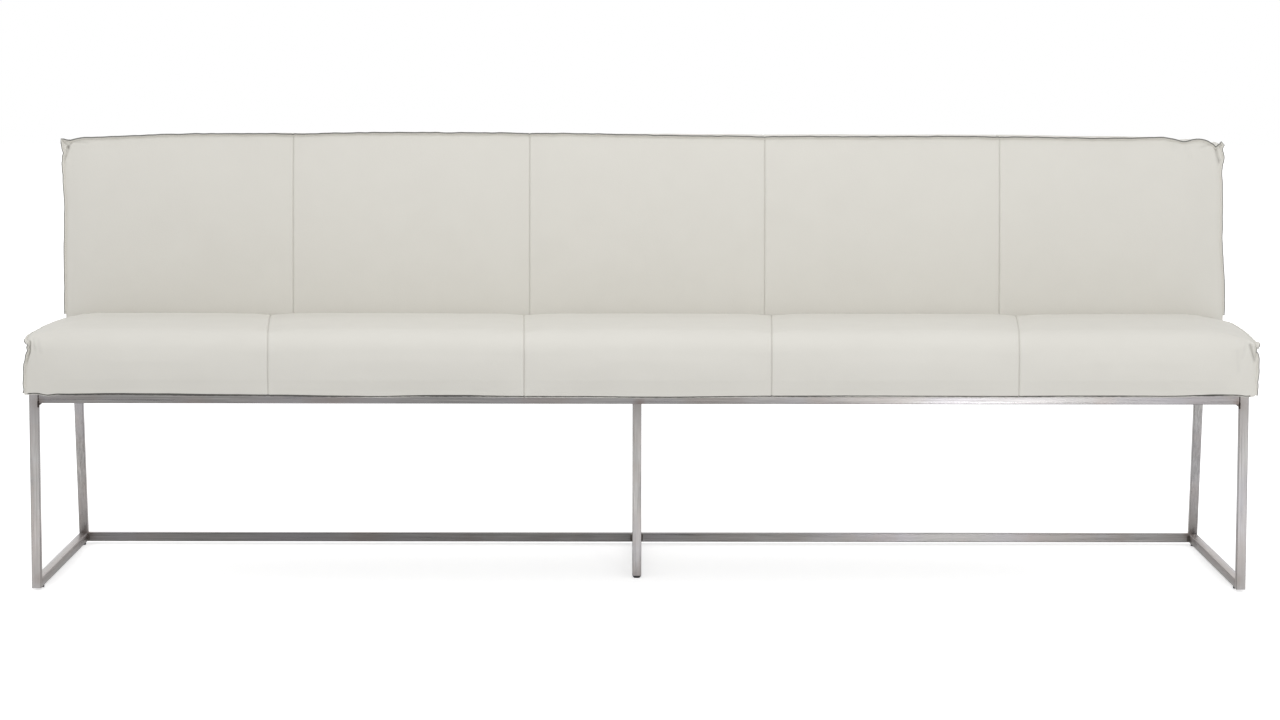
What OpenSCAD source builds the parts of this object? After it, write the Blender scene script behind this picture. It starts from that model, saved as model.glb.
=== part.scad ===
/* [Overall] */
// Overall width, over the raised seams of the seat
bench_w = 2400; // [1800:10:2800]
// Overall height, to the raised seam along the top of the backrest
bench_h = 878; // [820:1:940]

/* [Steel frame] */
// Height of the steel frame's top above the floor
frame_h = 387; // [370:1:400]
// Depth of the frame at the floor, over the rear feet
frame_d = 624; // [600:1:680]
// How far the rear legs lean forwards between the floor and the top
leg_run = 55; // [0:1:80]
// Side of the square steel tube
tube = 18; // [16:1:22]
// Wall of the steel tube
tube_wall = 1.5; // [1:0.25:2.5]
// Outer corner radius of the steel tube
tube_r = 1.5; // [0.75:0.25:2.5]
// How far the seat passes the legs at each end
side_overhang = 14; // [10:1:24]
// How far the seat passes the front legs
front_overhang = 20; // [10:1:30]
// How far the middle leg stands behind the front legs
middle_set_back = 160; // [60:5:300]
// Sideways place of the middle leg frame
middle_x = -4; // [-60:1:60]
// Thickness of the plates let into the tube ends
end_plate_t = 1.5; // [1:0.25:3]
// Leg of the triangular weld beads
bead = 4; // [2:0.5:5]

/* [Feet] */
// Height of the glides under the frame
glide_h = 5; // [3:0.5:8]
// Diameter of the glides under the runners
glide_dia = 15; // [12:0.5:16]
// Diameter of a glide's stem
glide_stem_dia = 6; // [4:0.5:8]
// Length of a glide's stem
glide_stem_l = 8; // [5:0.5:12]
// Distance from the front legs' faces to the front glides
glide_front = 48; // [30:1:90]
// Distance from the rear end of a runner to its rear glide
glide_rear = 34; // [24:1:60]
// Thread of the middle leg's levelling foot
foot_thread_dia = 8; // [6:1:10]
// Length of the levelling foot's thread
foot_thread_l = 26; // [16:1:40]

/* [Cushions] */
// Thickness of the seat cushion at the top of its crown
seat_t = 125; // [116:1:140]
// Thickness of the leather with its backing
cover_t = 2; // [1.5:0.1:3]
// Width of the covers' hems under the wooden frames
hem_w = 28; // [24:1:32]
// Rise of the raised seams
seam_h = 5; // [3:0.5:8]
// Thickness of the raised seams, two layers of leather
seam_t = 3; // [2:0.25:4]
// Depth of the sewn lines between the leather panels
seam_depth = 1.4; // [0.5:0.1:2]
// Half the width of the dip along a sewn line
seam_dip = 9; // [5:1:16]
// Rise of each leather panel between its sewn lines
panel_puff = 1.5; // [0:0.25:3]
// Rise of the seat's crown over its edges
seat_crown = 6; // [0:0.5:12]
// Bulge of the seat's front
front_bulge = 4; // [0:0.5:8]
// Radius of the seat's upper front edge
front_roll_r = 38; // [24:1:46]
// Radius of the seat's lower front edge
lower_edge_r = 8; // [5:0.5:14]
// Radius of the pinched corners at the seat's ends
ear_r = 12; // [8:1:20]
// Drop of the seat's top at its ends
seat_end_drop = 11; // [0:0.5:16]
// Length over which the cushions drop or draw in at their ends
end_roll = 80; // [50:1:110]
// How far the cushions' ends draw in
side_draw = 5; // [0:0.5:9]
// Foam on the front and the ends of the wooden frames
edge_foam = 14; // [8:1:18]

/* [Backrest] */
// Lean of the backrest's front, in degrees
back_rake = 5.3; // [0:0.1:7]
// Thickness of the backrest at its bottom
back_bottom_t = 131; // [120:1:150]
// Thickness of the backrest at its top
back_top_t = 105; // [95:1:125]
// How far the backrest passes the rear rail
back_overhang = 4; // [0:0.5:10]
// How far the backrest's ends are set in from the seat's
back_inset = 5; // [0:0.5:20]
// Crown of the backrest's front
back_crown = 8; // [0:0.5:12]
// Drop of the backrest's top at its ends
back_end_drop = 15; // [0:0.5:20]
// Foam in front of the backrest's webbing
back_foam_t = 28; // [20:1:32]
// Foam over the backrest's top board, at the ends
top_foam_t = 7; // [4:0.5:16]
// Radius of the backrest's upper rear edge
rear_edge_r = 14; // [8:1:20]
// Room between the seat cushion and the backrest
cushion_gap = 0.5; // [0.4:0.1:2]

/* [Wooden frames] */
// Thickness of the boards
board_t = 22; // [18:1:25]
// Height of the seat's boards
board_h = 70; // [66:1:75]
// Width of the seat's cross timbers
timber_w = 45; // [36:1:60]
// Height of the seat's cross timbers
timber_h = 45; // [36:1:56]
// Side of the corner blocks
block_w = 50; // [30:1:80]
// Thickness of the backrest's rear panel
panel_t = 3; // [2:0.25:5]
// Width of a webbing strap
strap_w = 60; // [40:1:80]
// Thickness of a webbing strap
strap_t = 2; // [1:0.25:3]
// Distance between the seat's webbing straps
strap_pitch = 145; // [100:1:200]
// Thickness of the dust covers
dust_t = 1; // [0.5:0.1:1.4]

/* [Fasteners] */
// Width of a mounting tab
tab_w = 40; // [30:1:60]
// Depth of a mounting tab
tab_d = 45; // [42:1:50]
// Thickness of a mounting tab
tab_t = 4; // [3:0.5:6]
// Diameter of the coach screws into the wooden frames
screw_dia = 6; // [5:0.5:8]
// Reach of the coach screws into the wood
screw_reach = 16; // [10:0.5:18]
// Length of the slots in the tabs and packers
slot_l = 14; // [10:1:20]
// Side of the packers between the tabs and the wooden frames
packer_w = 20; // [16:1:21]
// Thread of the bolts between the seat and the backrest
back_bolt_dia = 8; // [6:0.5:8.5]
// Length of thread that shows past a nut
bolt_tail = 3; // [1:0.5:6]
// Thickness of the washers
washer_t = 1.6; // [1:0.1:2.5]

/* [Hidden] */

// Clearance between soft pieces, and round pieces that are pressed or stapled in place
fit_gap = 0.3;
// Clearance of a thread or stem in its hole, on the radius
hole_gap = 0.05;
// How far cutting shapes run past what they cut
overrun = 6;
// Sides of the round pieces, and of the circle behind a tube's corners
round_sides = 32;
corner_sides = 12;

// Where the panels' sewn lines cross the width, from the middle
seat_seam_shares = [-0.3, -0.093, 0.107, 0.307];
back_seam_shares = [-0.296, -0.094, 0.108, 0.309];
// How much further apart the seat's sewn lines are at the back
seam_fan_share = 0.034;
// Where the mounting tabs, the cross timbers and the inner ribs stand
tab_shares = [-0.29, -0.098, 0.098, 0.29];
// Where the bolts between the seat and the backrest stand, across and up the boards
back_bolt_shares = [-0.4, -0.15, 0.15, 0.4];
back_bolt_height_share = 0.7;
// Where the backrest's webbing crosses its ribs
back_strap_shares = [0.12, 0.37, 0.62, 0.87];
// Places of the rings of a cushion near its ends, from the start of the roll
roll_shares = [0, 0.6, 0.88, 1];
// Places of the points along the flat stretches of a cushion's outline
quarter_shares = [0.25, 0.5, 0.75];
third_shares = [1 / 3, 2 / 3];
// Points of the outlines that the raised seams run along
seat_seam_points = [1 : 11];
back_side_points = [2 : 5];
back_top_point = 6;
// How sharply the forms change, as powers: towards the ends, the rear, the top and the sides
end_power = 2;
front_power = 8;
rise_power = 4;
top_end_power = 8;
top_rise_power = 3;
face_power = 6;
// Height at which the ends stand out most, as a share, and how soon the front's bulge starts
widest_share = 0.4;
bulge_start_share = 0.25;

// Main faces of the frame
overall_d = front_overhang + frame_d;
front_y = front_overhang - overall_d / 2;
foot_y = front_y + frame_d;
top_y = foot_y - leg_run;
middle_y = front_y + middle_set_back;
leg_x = bench_w / 2 - side_overhang - tube / 2;
rail_z = frame_h - tube;
runner_top = glide_h + tube;
leg_lean = atan(leg_run / (rail_z - runner_top));
tab_xs = [for (share = tab_shares) share * bench_w];

// Reach of a raised seam that stands at 45 degrees
seam_out = (seam_h + seam_t / 2) * sin(45);
// Faces of the seat cushion
seat_h = frame_h + seat_t;
seat_half = bench_w / 2 - seam_out;
seat_front_y = front_bulge + panel_puff - overall_d / 2;
seat_rear_y = top_y + back_overhang - back_bottom_t - cushion_gap;
seat_d = seat_rear_y - seat_front_y;
seat_edge_z = seat_h - seat_crown;
// Undersides and tops of the wooden frames
wood_z = frame_h + cover_t;
kink_z = wood_z + board_h;
seat_wood_x = seat_half - side_draw - cover_t - edge_foam;
seat_wood_front = seat_front_y + cover_t + edge_foam;
seat_wood_rear = seat_rear_y - cover_t - fit_gap;
// Faces of the backrest
back_half = seat_half - back_inset;
back_front_y = seat_rear_y + cushion_gap;
back_top_z = bench_h - seam_out;
back_rear_y = top_y + back_overhang;
back_wood_x = back_half - side_draw - cover_t - edge_foam;
back_wood_front = back_front_y + cover_t + fit_gap;
rib_top = back_top_z - back_end_drop - cover_t - top_foam_t - board_t;
rear_slope = (back_face(back_top_z) + back_top_t - back_rear_y) / (back_top_z - frame_h);

// Front of the backrest at a height: upright against the seat's boards, then leaning
function back_face(z) = back_front_y + tan(back_rake) * max(0, z - kink_z);
// Rear of the seat cushion at a height
function seat_back_face(z) = back_face(z) - cushion_gap;
// Rear of the backrest at a height, outside the cover and inside it
function back_rear(z) = back_rear_y + rear_slope * (z - frame_h);
function back_wood_rear(z) = back_rear(z) - cover_t - fit_gap;
// Front edges of the backrest's ribs at a height
function rib_front(z) = back_face(z) + cover_t + back_foam_t;

// Points of an arc, from one angle to another
function arc(y, z, r, from, to, steps) =
    [for (i = [0 : steps]) let (a = from + (to - from) * i / steps) [y + r * cos(a), z + r * sin(a)]];
function mix(a, b, share) = a + (b - a) * share;
function unit(v) = v / norm(v);

// How far a place is into the roll at the nearer end, from 0 to 1
function into_end(x, half) = pow(max(0, abs(x) - (half - end_roll)) / end_roll, end_power);
// Where a height lies between the frame's top and a cushion's upper edge
function height_share(z, top) = (z - frame_h) / (top - frame_h);
// How far an end draws in at a height: most at the top, least a little below the middle
function draw_in(t) = side_draw * pow(abs(t - widest_share) / (1 - widest_share), end_power);

// Places of the rings across a cushion: its rolled ends, its panels and its sewn lines
function ring_places(half, seams) = concat(
    [for (i = [len(roll_shares) - 1 : -1 : 0]) -half + end_roll * (1 - roll_shares[i])],
    [for (i = [0 : len(seams)])
        let (low = i == 0 ? -half + end_roll : seams[i - 1] + seam_dip,
             high = i == len(seams) ? half - end_roll : seams[i] - seam_dip)
        each concat(
            i == 0 ? [] : [low],
            [mix(low, high, 0.5)],
            i == len(seams) ? [] : [high, seams[i]])],
    [for (share = roll_shares) half - end_roll * (1 - share)]);

// Lift of a panel over the plain form: down on a sewn line, up between two
function panel_lift(x, half, seams) =
    let (edges = concat([-half], seams, [half]),
         i = max([for (k = [0 : len(seams)]) x >= edges[k] ? k : 0]),
         t = (x - edges[i]) / (edges[i + 1] - edges[i]),
         on_seam = min([for (s = seams) abs(x - s)]) < seam_dip / 2)
    on_seam ? -seam_depth : panel_puff * sin(180 * t);

// Outline of the seat at a place across the width, drawn in by a wall
function seat_outline(x, wall) =
    let (e = into_end(x, seat_half),
         roll = mix(front_roll_r, ear_r, e),
         back_top = seat_back_face(seat_edge_z))
    concat(
        arc(seat_front_y + lower_edge_r, frame_h + lower_edge_r, lower_edge_r - wall, 270, 180, 1),
        [[seat_front_y + wall, mix(frame_h + lower_edge_r, seat_edge_z - roll, 0.5)]],
        arc(seat_front_y + roll, seat_edge_z - roll, roll - wall, 180, 90, 3),
        [for (share = quarter_shares)
            [mix(seat_front_y + roll, back_top - ear_r, share), seat_edge_z - wall]],
        arc(back_top - ear_r, seat_edge_z - ear_r, ear_r - wall, 90, 0, 1),
        [[seat_rear_y - wall, kink_z], [seat_rear_y - wall, frame_h + wall]],
        [for (share = third_shares) [mix(seat_rear_y, seat_front_y, share), frame_h + wall]]);

// Point of the seat's outline with the crown, the bulge, the panels and the drawn-in ends
function seat_point(p, x, wall) =
    let (e = into_end(x, seat_half),
         t = height_share(p[1], seat_edge_z),
         d = (p[0] - seat_front_y) / seat_d,
         lift = panel_lift(x, seat_half, seat_places) * (1 - e),
         side = sign(x) * min(abs(x), seat_half - wall),
         front = pow(max(0, 1 - d), front_power) * min(1, t / bulge_start_share),
         fan = x * seam_fan_share * max(0, d) * (1 - pow(x / seat_half, rise_power)))
    [side + fan - sign(x) * draw_in(t) * e,
     p[0] - (front_bulge * (1 - e) * sin(180 * t) + lift) * front,
     p[1] + pow(t, rise_power) * (seat_crown * (1 - e) * sin(180 * d) - seat_end_drop * e + lift)];

seat_places = [for (share = seat_seam_shares) share * bench_w];
back_places = [for (share = back_seam_shares) share * bench_w];
function seat_rings(wall) = [for (x = ring_places(seat_half, seat_places))
    [for (p = seat_outline(x, wall)) seat_point(p, x, wall)]];

// Outline of the backrest, drawn in by a wall
function back_outline(wall) =
    let (rear_top = back_rear(back_top_z))
    concat(
        [[back_front_y + wall, frame_h + wall], [back_front_y + wall, kink_z],
         [back_face(seat_h) + wall, seat_h]],
        [for (share = quarter_shares) let (z = mix(seat_h, back_top_z, share)) [back_face(z) + wall, z]],
        [[back_face(back_top_z) + wall, back_top_z - wall]],
        [for (share = third_shares)
            [mix(back_face(back_top_z), rear_top - rear_edge_r, share), back_top_z - wall]],
        arc(rear_top - rear_edge_r, back_top_z - rear_edge_r, rear_edge_r - wall, 90, 0, 2),
        [for (share = third_shares)
            let (z = mix(back_top_z - rear_edge_r, frame_h, share)) [back_rear(z) - wall, z]],
        [[back_rear_y - wall, frame_h + wall]],
        [for (share = third_shares) [mix(back_rear_y, back_front_y, share), frame_h + wall]]);

// Point of the backrest's outline with the crown, the panels, the sinking top and the drawn-in ends
function back_point(p, x, wall) =
    let (e = into_end(x, back_half),
         t = height_share(p[1], back_top_z),
         above = max(0, (p[1] - seat_h) / (back_top_z - seat_h)),
         d = min(1, max(0, (p[0] - back_face(p[1])) / back_top_t)),
         lift = panel_lift(x, back_half, back_places) * (1 - e),
         side = sign(x) * min(abs(x), back_half - wall))
    [side - sign(x) * draw_in(t) * e,
     p[0] - (back_crown * (1 - e) + lift) * sin(180 * above) * pow(1 - d, face_power),
     p[1] - back_end_drop * pow(abs(x) / back_half, top_end_power) * pow(t, top_rise_power)];

function back_rings(wall) = [for (x = ring_places(back_half, back_places))
    [for (p = back_outline(wall)) back_point(p, x, wall)]];

// Middle of an end ring, as far out as the ring's outermost point
function end_middle(ring, side) =
    let (sum = [for (p = ring) 1] * ring)
    [side * max([for (p = ring) side * p[0]]), sum[1] / len(ring), sum[2] / len(ring)];

// Solid between rings of points, closed at its two ends about a point each
module skin(rings, near, far) {
    n = len(rings[0]);
    m = len(rings);
    sides = [for (i = [0 : m - 2], j = [0 : n - 1])
        let (a = i * n + j, b = i * n + (j + 1) % n)
        each [[a, b, b + n], [a, b + n, a + n]]];
    ends = [for (j = [0 : n - 1])
        let (k = (j + 1) % n, last = (m - 1) * n)
        each [[m * n, k, j], [m * n + 1, last + j, last + k]]];
    polyhedron(concat([for (ring = rings) each ring], [near, far]), concat(sides, ends));
}
module cushion(rings) {
    skin(rings, end_middle(rings[0], -1), end_middle(rings[len(rings) - 1], 1));
}

// Raised seam along an edge: each stop is a point, the way out and the way across
module raised_seam(stops) {
    rings = [for (s = stops)
        let (out = unit(s[1]), across = unit(s[2]) * seam_t / 2, root = s[0] - out * cover_t / 2)
        [root - across, root + across, s[0] + out * seam_h + across, s[0] + out * seam_h - across]];
    skin(rings, mix(rings[0][0], rings[0][2], 0.5),
         mix(rings[len(rings) - 1][0], rings[len(rings) - 1][2], 0.5));
}

// Way out of an outline at one of its points, square to its neighbours
function outward(ring, i) =
    let (n = len(ring), along = ring[(i + 1) % n] - ring[max(0, i - 1)])
    unit([0, -along[2], along[1]]);

// Stops along an end of the seat, from its lower front edge over the top to the rear
function seat_seam_stops(side) =
    let (rings = seat_rings(0), ring = side < 0 ? rings[0] : rings[len(rings) - 1])
    [for (i = seat_seam_points)
        let (out = outward(ring, i), end = [side, 0, 0])
        [ring[i], out + end, side * (end - out)]];

// Stops round the front of the backrest: up one end, along the top and down the other end
function back_seam_stops() =
    let (rings = back_rings(0), last = len(rings) - 1, front = [0, -1, 0], up = [0, 0, 1])
    concat(
        [for (i = back_side_points) [rings[0][i], front + [-1, 0, 0], front + [1, 0, 0]]],
        [for (k = [0 : last])
            let (end = k == 0 ? [-1, 0, 0] : k == last ? [1, 0, 0] : [0, 0, 0])
            [rings[k][back_top_point], front + up + end, front - up - end]],
        [for (i = back_side_points)
            let (j = back_top_point + 1 - i)
            [rings[last][j], front + [1, 0, 0], front + [-1, 0, 0]]]);

// Square with rounded corners, about the origin
module rounded_square(side, r) {
    square([side - 2 * r, side], center = true);
    square([side, side - 2 * r], center = true);
    for (x = [-1, 1], y = [-1, 1])
        translate([x, y] * (side / 2 - r)) circle(r, $fn = corner_sides);
}

// Steel tube along Z, X or Y, with its middle line through a point
module tube_bar(length) {
    linear_extrude(length) difference() {
        rounded_square(tube, tube_r);
        square(tube - 2 * tube_wall, center = true);
    }
}
module bar_x(from, to, y, z) { translate([from, y, z]) rotate([0, 90, 0]) tube_bar(to - from); }
module bar_y(x, from, to, z) { translate([x, from, z]) rotate([-90, 0, 0]) tube_bar(to - from); }
module bar_z(x, y, from, to) { translate([x, y, from]) tube_bar(to - from); }

// Board with an outline in Y and Z, sawn to a width along X
module sawn(from, width, outline) {
    translate([from, 0, 0]) rotate([90, 0, 90]) linear_extrude(width) polygon(outline);
}
// Box between two corners
module block(low, high) { translate(low) cube(high - low); }
// Round bar or hole along Y
module rod_y(x, from, to, z, r) {
    translate([x, from, z]) rotate([-90, 0, 0]) cylinder(to - from, r, r, $fn = round_sides);
}
// Round bar or hole along Z
module rod_z(x, y, from, to, r) { translate([x, y, from]) cylinder(to - from, r, r, $fn = round_sides); }

// Square washer with a round hole
module washer(hole_r, side, t) {
    linear_extrude(t) difference() {
        square(side, center = true);
        circle(hole_r, $fn = round_sides);
    }
}
// Hexagonal head or nut blank, sized across its flats
module hexagon(flats, t) { cylinder(t, flats / 2 / cos(30), flats / 2 / cos(30), $fn = 6); }

// Shares of a thread that give the usual heads, nuts, washers and holes
head_flats_share = 1.65;
head_height_share = 0.65;
nut_height_share = 0.8;
washer_share = 3;
clear_hole_share = 1.1;

// Front legs
module end_leg(side) {
    color("silver") bar_z(side * leg_x, front_y + tube / 2, glide_h, frame_h);
}
module front_leg_left() { end_leg(-1); }
module front_leg_right() { end_leg(1); }
module front_leg_middle() {
    color("silver") bar_z(middle_x, middle_y + tube / 2, glide_h, rail_z);
}

// Rear leg that leans forwards as it rises, cut level at both ends
module rear_leg(x) {
    reach = (rail_z - runner_top) / cos(leg_lean) + 2 * overrun;
    color("silver") intersection() {
        translate([x, foot_y, runner_top]) rotate([leg_lean, 0, 0])
            translate([0, -tube / 2, -overrun]) tube_bar(reach);
        block([x - tube, front_y, runner_top], [x + tube, foot_y + tube, rail_z]);
    }
}
module rear_leg_left() { rear_leg(-leg_x); }
module rear_leg_right() { rear_leg(leg_x); }
module rear_leg_middle() { rear_leg(middle_x); }

// Runner on the floor, drilled from below for its glides
module runner(x, from, glide_ys) {
    color("silver") difference() {
        bar_y(x, from, foot_y, glide_h + tube / 2);
        for (y = glide_ys)
            rod_z(x, y, glide_h - overrun, glide_h + tube / 2, glide_stem_dia / 2 + hole_gap);
    }
}
end_glide_ys = [front_y + glide_front, foot_y - glide_rear];
module floor_runner_left() { runner(-leg_x, front_y + tube, end_glide_ys); }
module floor_runner_right() { runner(leg_x, front_y + tube, end_glide_ys); }
module floor_runner_middle() { runner(middle_x, middle_y + tube, [foot_y - glide_rear]); }

// Rails at the top of the frame
module front_rail() {
    color("silver") bar_x(tube / 2 - leg_x, leg_x - tube / 2, front_y + tube / 2, frame_h - tube / 2);
}
module rear_rail() {
    color("silver") bar_x(tube / 2 - leg_x, leg_x - tube / 2, top_y - tube / 2, frame_h - tube / 2);
}
module side_rail(side) {
    color("silver") bar_y(side * leg_x, front_y + tube, top_y, frame_h - tube / 2);
}
module side_rail_left() { side_rail(-1); }
module side_rail_right() { side_rail(1); }
module middle_cross_rail() {
    color("silver") bar_y(middle_x, front_y + tube, top_y - tube, frame_h - tube / 2);
}

// Stretchers at the floor, between the rear feet
module rear_stretcher_left() {
    color("gray") bar_x(tube / 2 - leg_x, middle_x - tube / 2, foot_y - tube / 2, glide_h + tube / 2);
}
module rear_stretcher_right() {
    color("gray") bar_x(middle_x + tube / 2, leg_x - tube / 2, foot_y - tube / 2, glide_h + tube / 2);
}

// Plate let into a tube end, lying flat or standing square to Y
module end_plate() { linear_extrude(end_plate_t) square(tube - 2 * tube_wall, center = true); }
module end_plate_y(x, z, rear) { translate([x, rear, z]) rotate([90, 0, 0]) end_plate(); }
module tube_end_plates() {
    color("silver") {
        for (side = [-1, 1]) {
            translate([side * leg_x, front_y + tube / 2, glide_h]) end_plate();
            end_plate_y(side * leg_x, frame_h - tube / 2, top_y);
        }
        for (x = [-leg_x, middle_x, leg_x]) end_plate_y(x, glide_h + tube / 2, foot_y);
    }
}
module leg_foot_plate() {
    color("silver") difference() {
        translate([middle_x, middle_y + tube / 2, glide_h]) end_plate();
        rod_z(middle_x, middle_y + tube / 2, glide_h - overrun, glide_h + overrun,
              foot_thread_dia / 2 + hole_gap);
    }
}

// Triangular bead in an inner corner, with its right angle at a point
module weld_bead(place, turn) {
    translate(place) rotate(turn) linear_extrude(tube - 2 * tube_r, center = true)
        polygon([[0, 0], [bead, 0], [0, bead]]);
}
module weld_beads() {
    mid_front = front_y + tube / 2;
    color("dimgray") {
        // Under the front rail and behind the front legs
        for (side = [-1, 1]) {
            turn = side < 0 ? [-90, 0, 0] : [-90, 0, 180];
            inner = side * (leg_x - tube / 2);
            weld_bead([inner, mid_front, rail_z], turn);
            weld_bead([side * leg_x, front_y + tube, rail_z], [-90, 0, 90]);
            weld_bead([side * leg_x, front_y + tube, runner_top], [90, 0, 90]);
            // Between the side rails and the rear rail, and the stretchers and the runners
            flat_turn = side < 0 ? [180, 0, 0] : [0, 0, 180];
            weld_bead([inner, top_y - tube, frame_h - tube / 2], flat_turn);
            weld_bead([inner, foot_y - tube, glide_h + tube / 2], flat_turn);
            weld_bead([middle_x + side * tube / 2, foot_y - tube, glide_h + tube / 2],
                      side < 0 ? [0, 0, 180] : [180, 0, 0]);
            // Between the middle cross rail and the long rails
            weld_bead([middle_x + side * tube / 2, front_y + tube, frame_h - tube / 2],
                      side < 0 ? [0, 0, 90] : [0, 0, 0]);
            weld_bead([middle_x + side * tube / 2, top_y - tube, frame_h - tube / 2],
                      side < 0 ? [0, 0, 180] : [0, 0, -90]);
        }
        // Round the middle leg
        weld_bead([middle_x, middle_y + tube, rail_z], [-90, 0, 90]);
        weld_bead([middle_x, middle_y, rail_z], [-90, 0, -90]);
        weld_bead([middle_x, middle_y + tube, runner_top], [90, 0, 90]);
    }
}

// Tabs that carry the seat and the backrest, with a slot each for a coach screw
front_tab_y = front_y + tube + tab_d / 2;
rear_tab_y = top_y - tube - tab_d / 2;
screw_places = [for (x = tab_xs, y = [front_tab_y, rear_tab_y]) [x, y]];
slot_w = screw_dia * clear_hole_share;
module mounting_tabs() {
    color("silver") for (p = screw_places) difference() {
        block([p[0] - tab_w / 2, p[1] - tab_d / 2, frame_h - tab_t],
              [p[0] + tab_w / 2, p[1] + tab_d / 2, frame_h]);
        block([p[0] - slot_l / 2, p[1] - slot_w / 2, frame_h - tab_t - overrun],
              [p[0] + slot_l / 2, p[1] + slot_w / 2, frame_h + overrun]);
    }
}

// Nylon glide pressed into a runner
module glide() {
    rotate_extrude($fn = round_sides) polygon([
        [0, 0], [glide_dia / 2, 0], [glide_dia / 2, glide_h], [glide_stem_dia / 2, glide_h],
        [glide_stem_dia / 2, glide_h + glide_stem_l], [0, glide_h + glide_stem_l]]);
}
module runner_glides() {
    color("dimgray") {
        for (side = [-1, 1], y = end_glide_ys) translate([side * leg_x, y, 0]) glide();
        translate([middle_x, foot_y - glide_rear, 0]) glide();
    }
}

// Levelling foot with a bevelled pad and a thread
module middle_leg_foot() {
    pad_r = tube / 2 - tube_r / 2;
    bevel = glide_h / 2;
    color("dimgray") translate([middle_x, middle_y + tube / 2, 0])
        rotate_extrude($fn = round_sides) polygon([
            [0, 0], [pad_r - bevel, 0], [pad_r, bevel], [pad_r, glide_h],
            [foot_thread_dia / 2, glide_h], [foot_thread_dia / 2, glide_h + foot_thread_l],
            [0, glide_h + foot_thread_l]]);
}

// Coach screws up through the tabs into the wooden frames, and the packers over the tabs
module coach_screws() {
    head_z = frame_h - tab_t;
    color("gray") for (p = screw_places) translate([p[0], p[1], head_z]) {
        translate([0, 0, -screw_dia * head_height_share])
            hexagon(screw_dia * head_flats_share, screw_dia * head_height_share);
        cylinder(wood_z + screw_reach - head_z, screw_dia / 2, screw_dia / 2, $fn = round_sides);
    }
}
module slotted_packers() {
    color("dimgray") for (p = screw_places) difference() {
        block([p[0] - packer_w / 2, p[1] - packer_w / 2, frame_h],
              [p[0] + packer_w / 2, p[1] + packer_w / 2, wood_z]);
        block([p[0] - slot_l / 2, p[1] - slot_w / 2, frame_h - overrun],
              [p[0] + packer_w, p[1] + slot_w / 2, wood_z + overrun]);
    }
}
module screw_holes() {
    for (p = screw_places)
        rod_z(p[0], p[1], wood_z - overrun, wood_z + screw_reach, screw_dia / 2 + hole_gap);
}

// Bolts through the seat's rear board and the backrest's lower board
back_bolt_places = [for (share = back_bolt_shares)
    [share * bench_w, wood_z + back_bolt_height_share * board_h]];
seat_rear_inner = seat_wood_rear - board_t;
back_lower_rear = back_wood_front + board_t;
module back_bolt_holes(from, to) {
    for (p = back_bolt_places) rod_y(p[0], from, to, p[1], back_bolt_dia * clear_hole_share / 2);
}
module back_bolts() {
    nut_end = back_lower_rear + washer_t + back_bolt_dia * nut_height_share + bolt_tail;
    color("gray") for (p = back_bolt_places)
        translate([p[0], seat_rear_inner - washer_t, p[1]]) rotate([-90, 0, 0]) {
            translate([0, 0, -back_bolt_dia * head_height_share])
                hexagon(back_bolt_dia * head_flats_share, back_bolt_dia * head_height_share);
            cylinder(nut_end - seat_rear_inner + washer_t, back_bolt_dia / 2, back_bolt_dia / 2,
                     $fn = round_sides);
        }
}
module back_bolt_washers() {
    color("silver") for (p = back_bolt_places, y = [seat_rear_inner - washer_t, back_lower_rear])
        translate([p[0], y, p[1]]) rotate([-90, 0, 0])
            washer(back_bolt_dia / 2 + hole_gap, back_bolt_dia * washer_share, washer_t);
}
module back_bolt_nuts() {
    color("gray") for (p = back_bolt_places) difference() {
        translate([p[0], back_lower_rear + washer_t, p[1]]) rotate([-90, 0, 0])
            hexagon(back_bolt_dia * head_flats_share, back_bolt_dia * nut_height_share);
        rod_y(p[0], back_lower_rear - overrun, back_lower_rear + back_bolt_dia + overrun, p[1],
              back_bolt_dia / 2 + hole_gap);
    }
}

// Wooden frame of the seat
module seat_front_board() {
    color("burlywood") block([-seat_wood_x, seat_wood_front, wood_z],
                             [seat_wood_x, seat_wood_front + board_t, kink_z]);
}
module seat_rear_board() {
    color("burlywood") difference() {
        block([-seat_wood_x, seat_rear_inner, wood_z], [seat_wood_x, seat_wood_rear, kink_z]);
        back_bolt_holes(seat_rear_inner - overrun, seat_wood_rear + overrun);
    }
}
module seat_side_board(side) {
    color("burlywood") translate([side * (seat_wood_x - board_t / 2), 0, 0])
        block([-board_t / 2, seat_wood_front + board_t, wood_z], [board_t / 2, seat_rear_inner, kink_z]);
}
module seat_side_board_left() { seat_side_board(-1); }
module seat_side_board_right() { seat_side_board(1); }
module seat_cross_timbers() {
    color("burlywood") for (x = tab_xs) difference() {
        block([x - timber_w / 2, seat_wood_front + board_t, wood_z],
              [x + timber_w / 2, seat_rear_inner, wood_z + timber_h]);
        screw_holes();
    }
}
module seat_corner_blocks() {
    corner_x = seat_wood_x - board_t;
    color("burlywood") for (side = [-1, 1]) {
        translate([side * corner_x, seat_wood_front + board_t, wood_z]) linear_extrude(timber_h)
            polygon([[0, 0], [-side * block_w, 0], [0, block_w]]);
        translate([side * corner_x, seat_rear_inner, wood_z]) linear_extrude(timber_h)
            polygon([[0, 0], [-side * block_w, 0], [0, -block_w]]);
    }
}
module seat_webbing() {
    count = floor(2 * seat_wood_x / strap_pitch);
    color("dimgray") for (i = [0 : count - 1]) translate([(i - (count - 1) / 2) * strap_pitch, 0, kink_z])
        block([-strap_w / 2, seat_wood_front, 0], [strap_w / 2, seat_wood_rear, strap_t]);
}

// Foam of the seat, over the webbing and down the front and the ends of the wooden frame
module seat_foam() {
    color("khaki") difference() {
        cushion(seat_rings(cover_t + fit_gap));
        block([-seat_wood_x - fit_gap, seat_wood_front - fit_gap, frame_h - overrun],
              [seat_wood_x + fit_gap, seat_rear_y + overrun, kink_z + strap_t + fit_gap]);
    }
}
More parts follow.
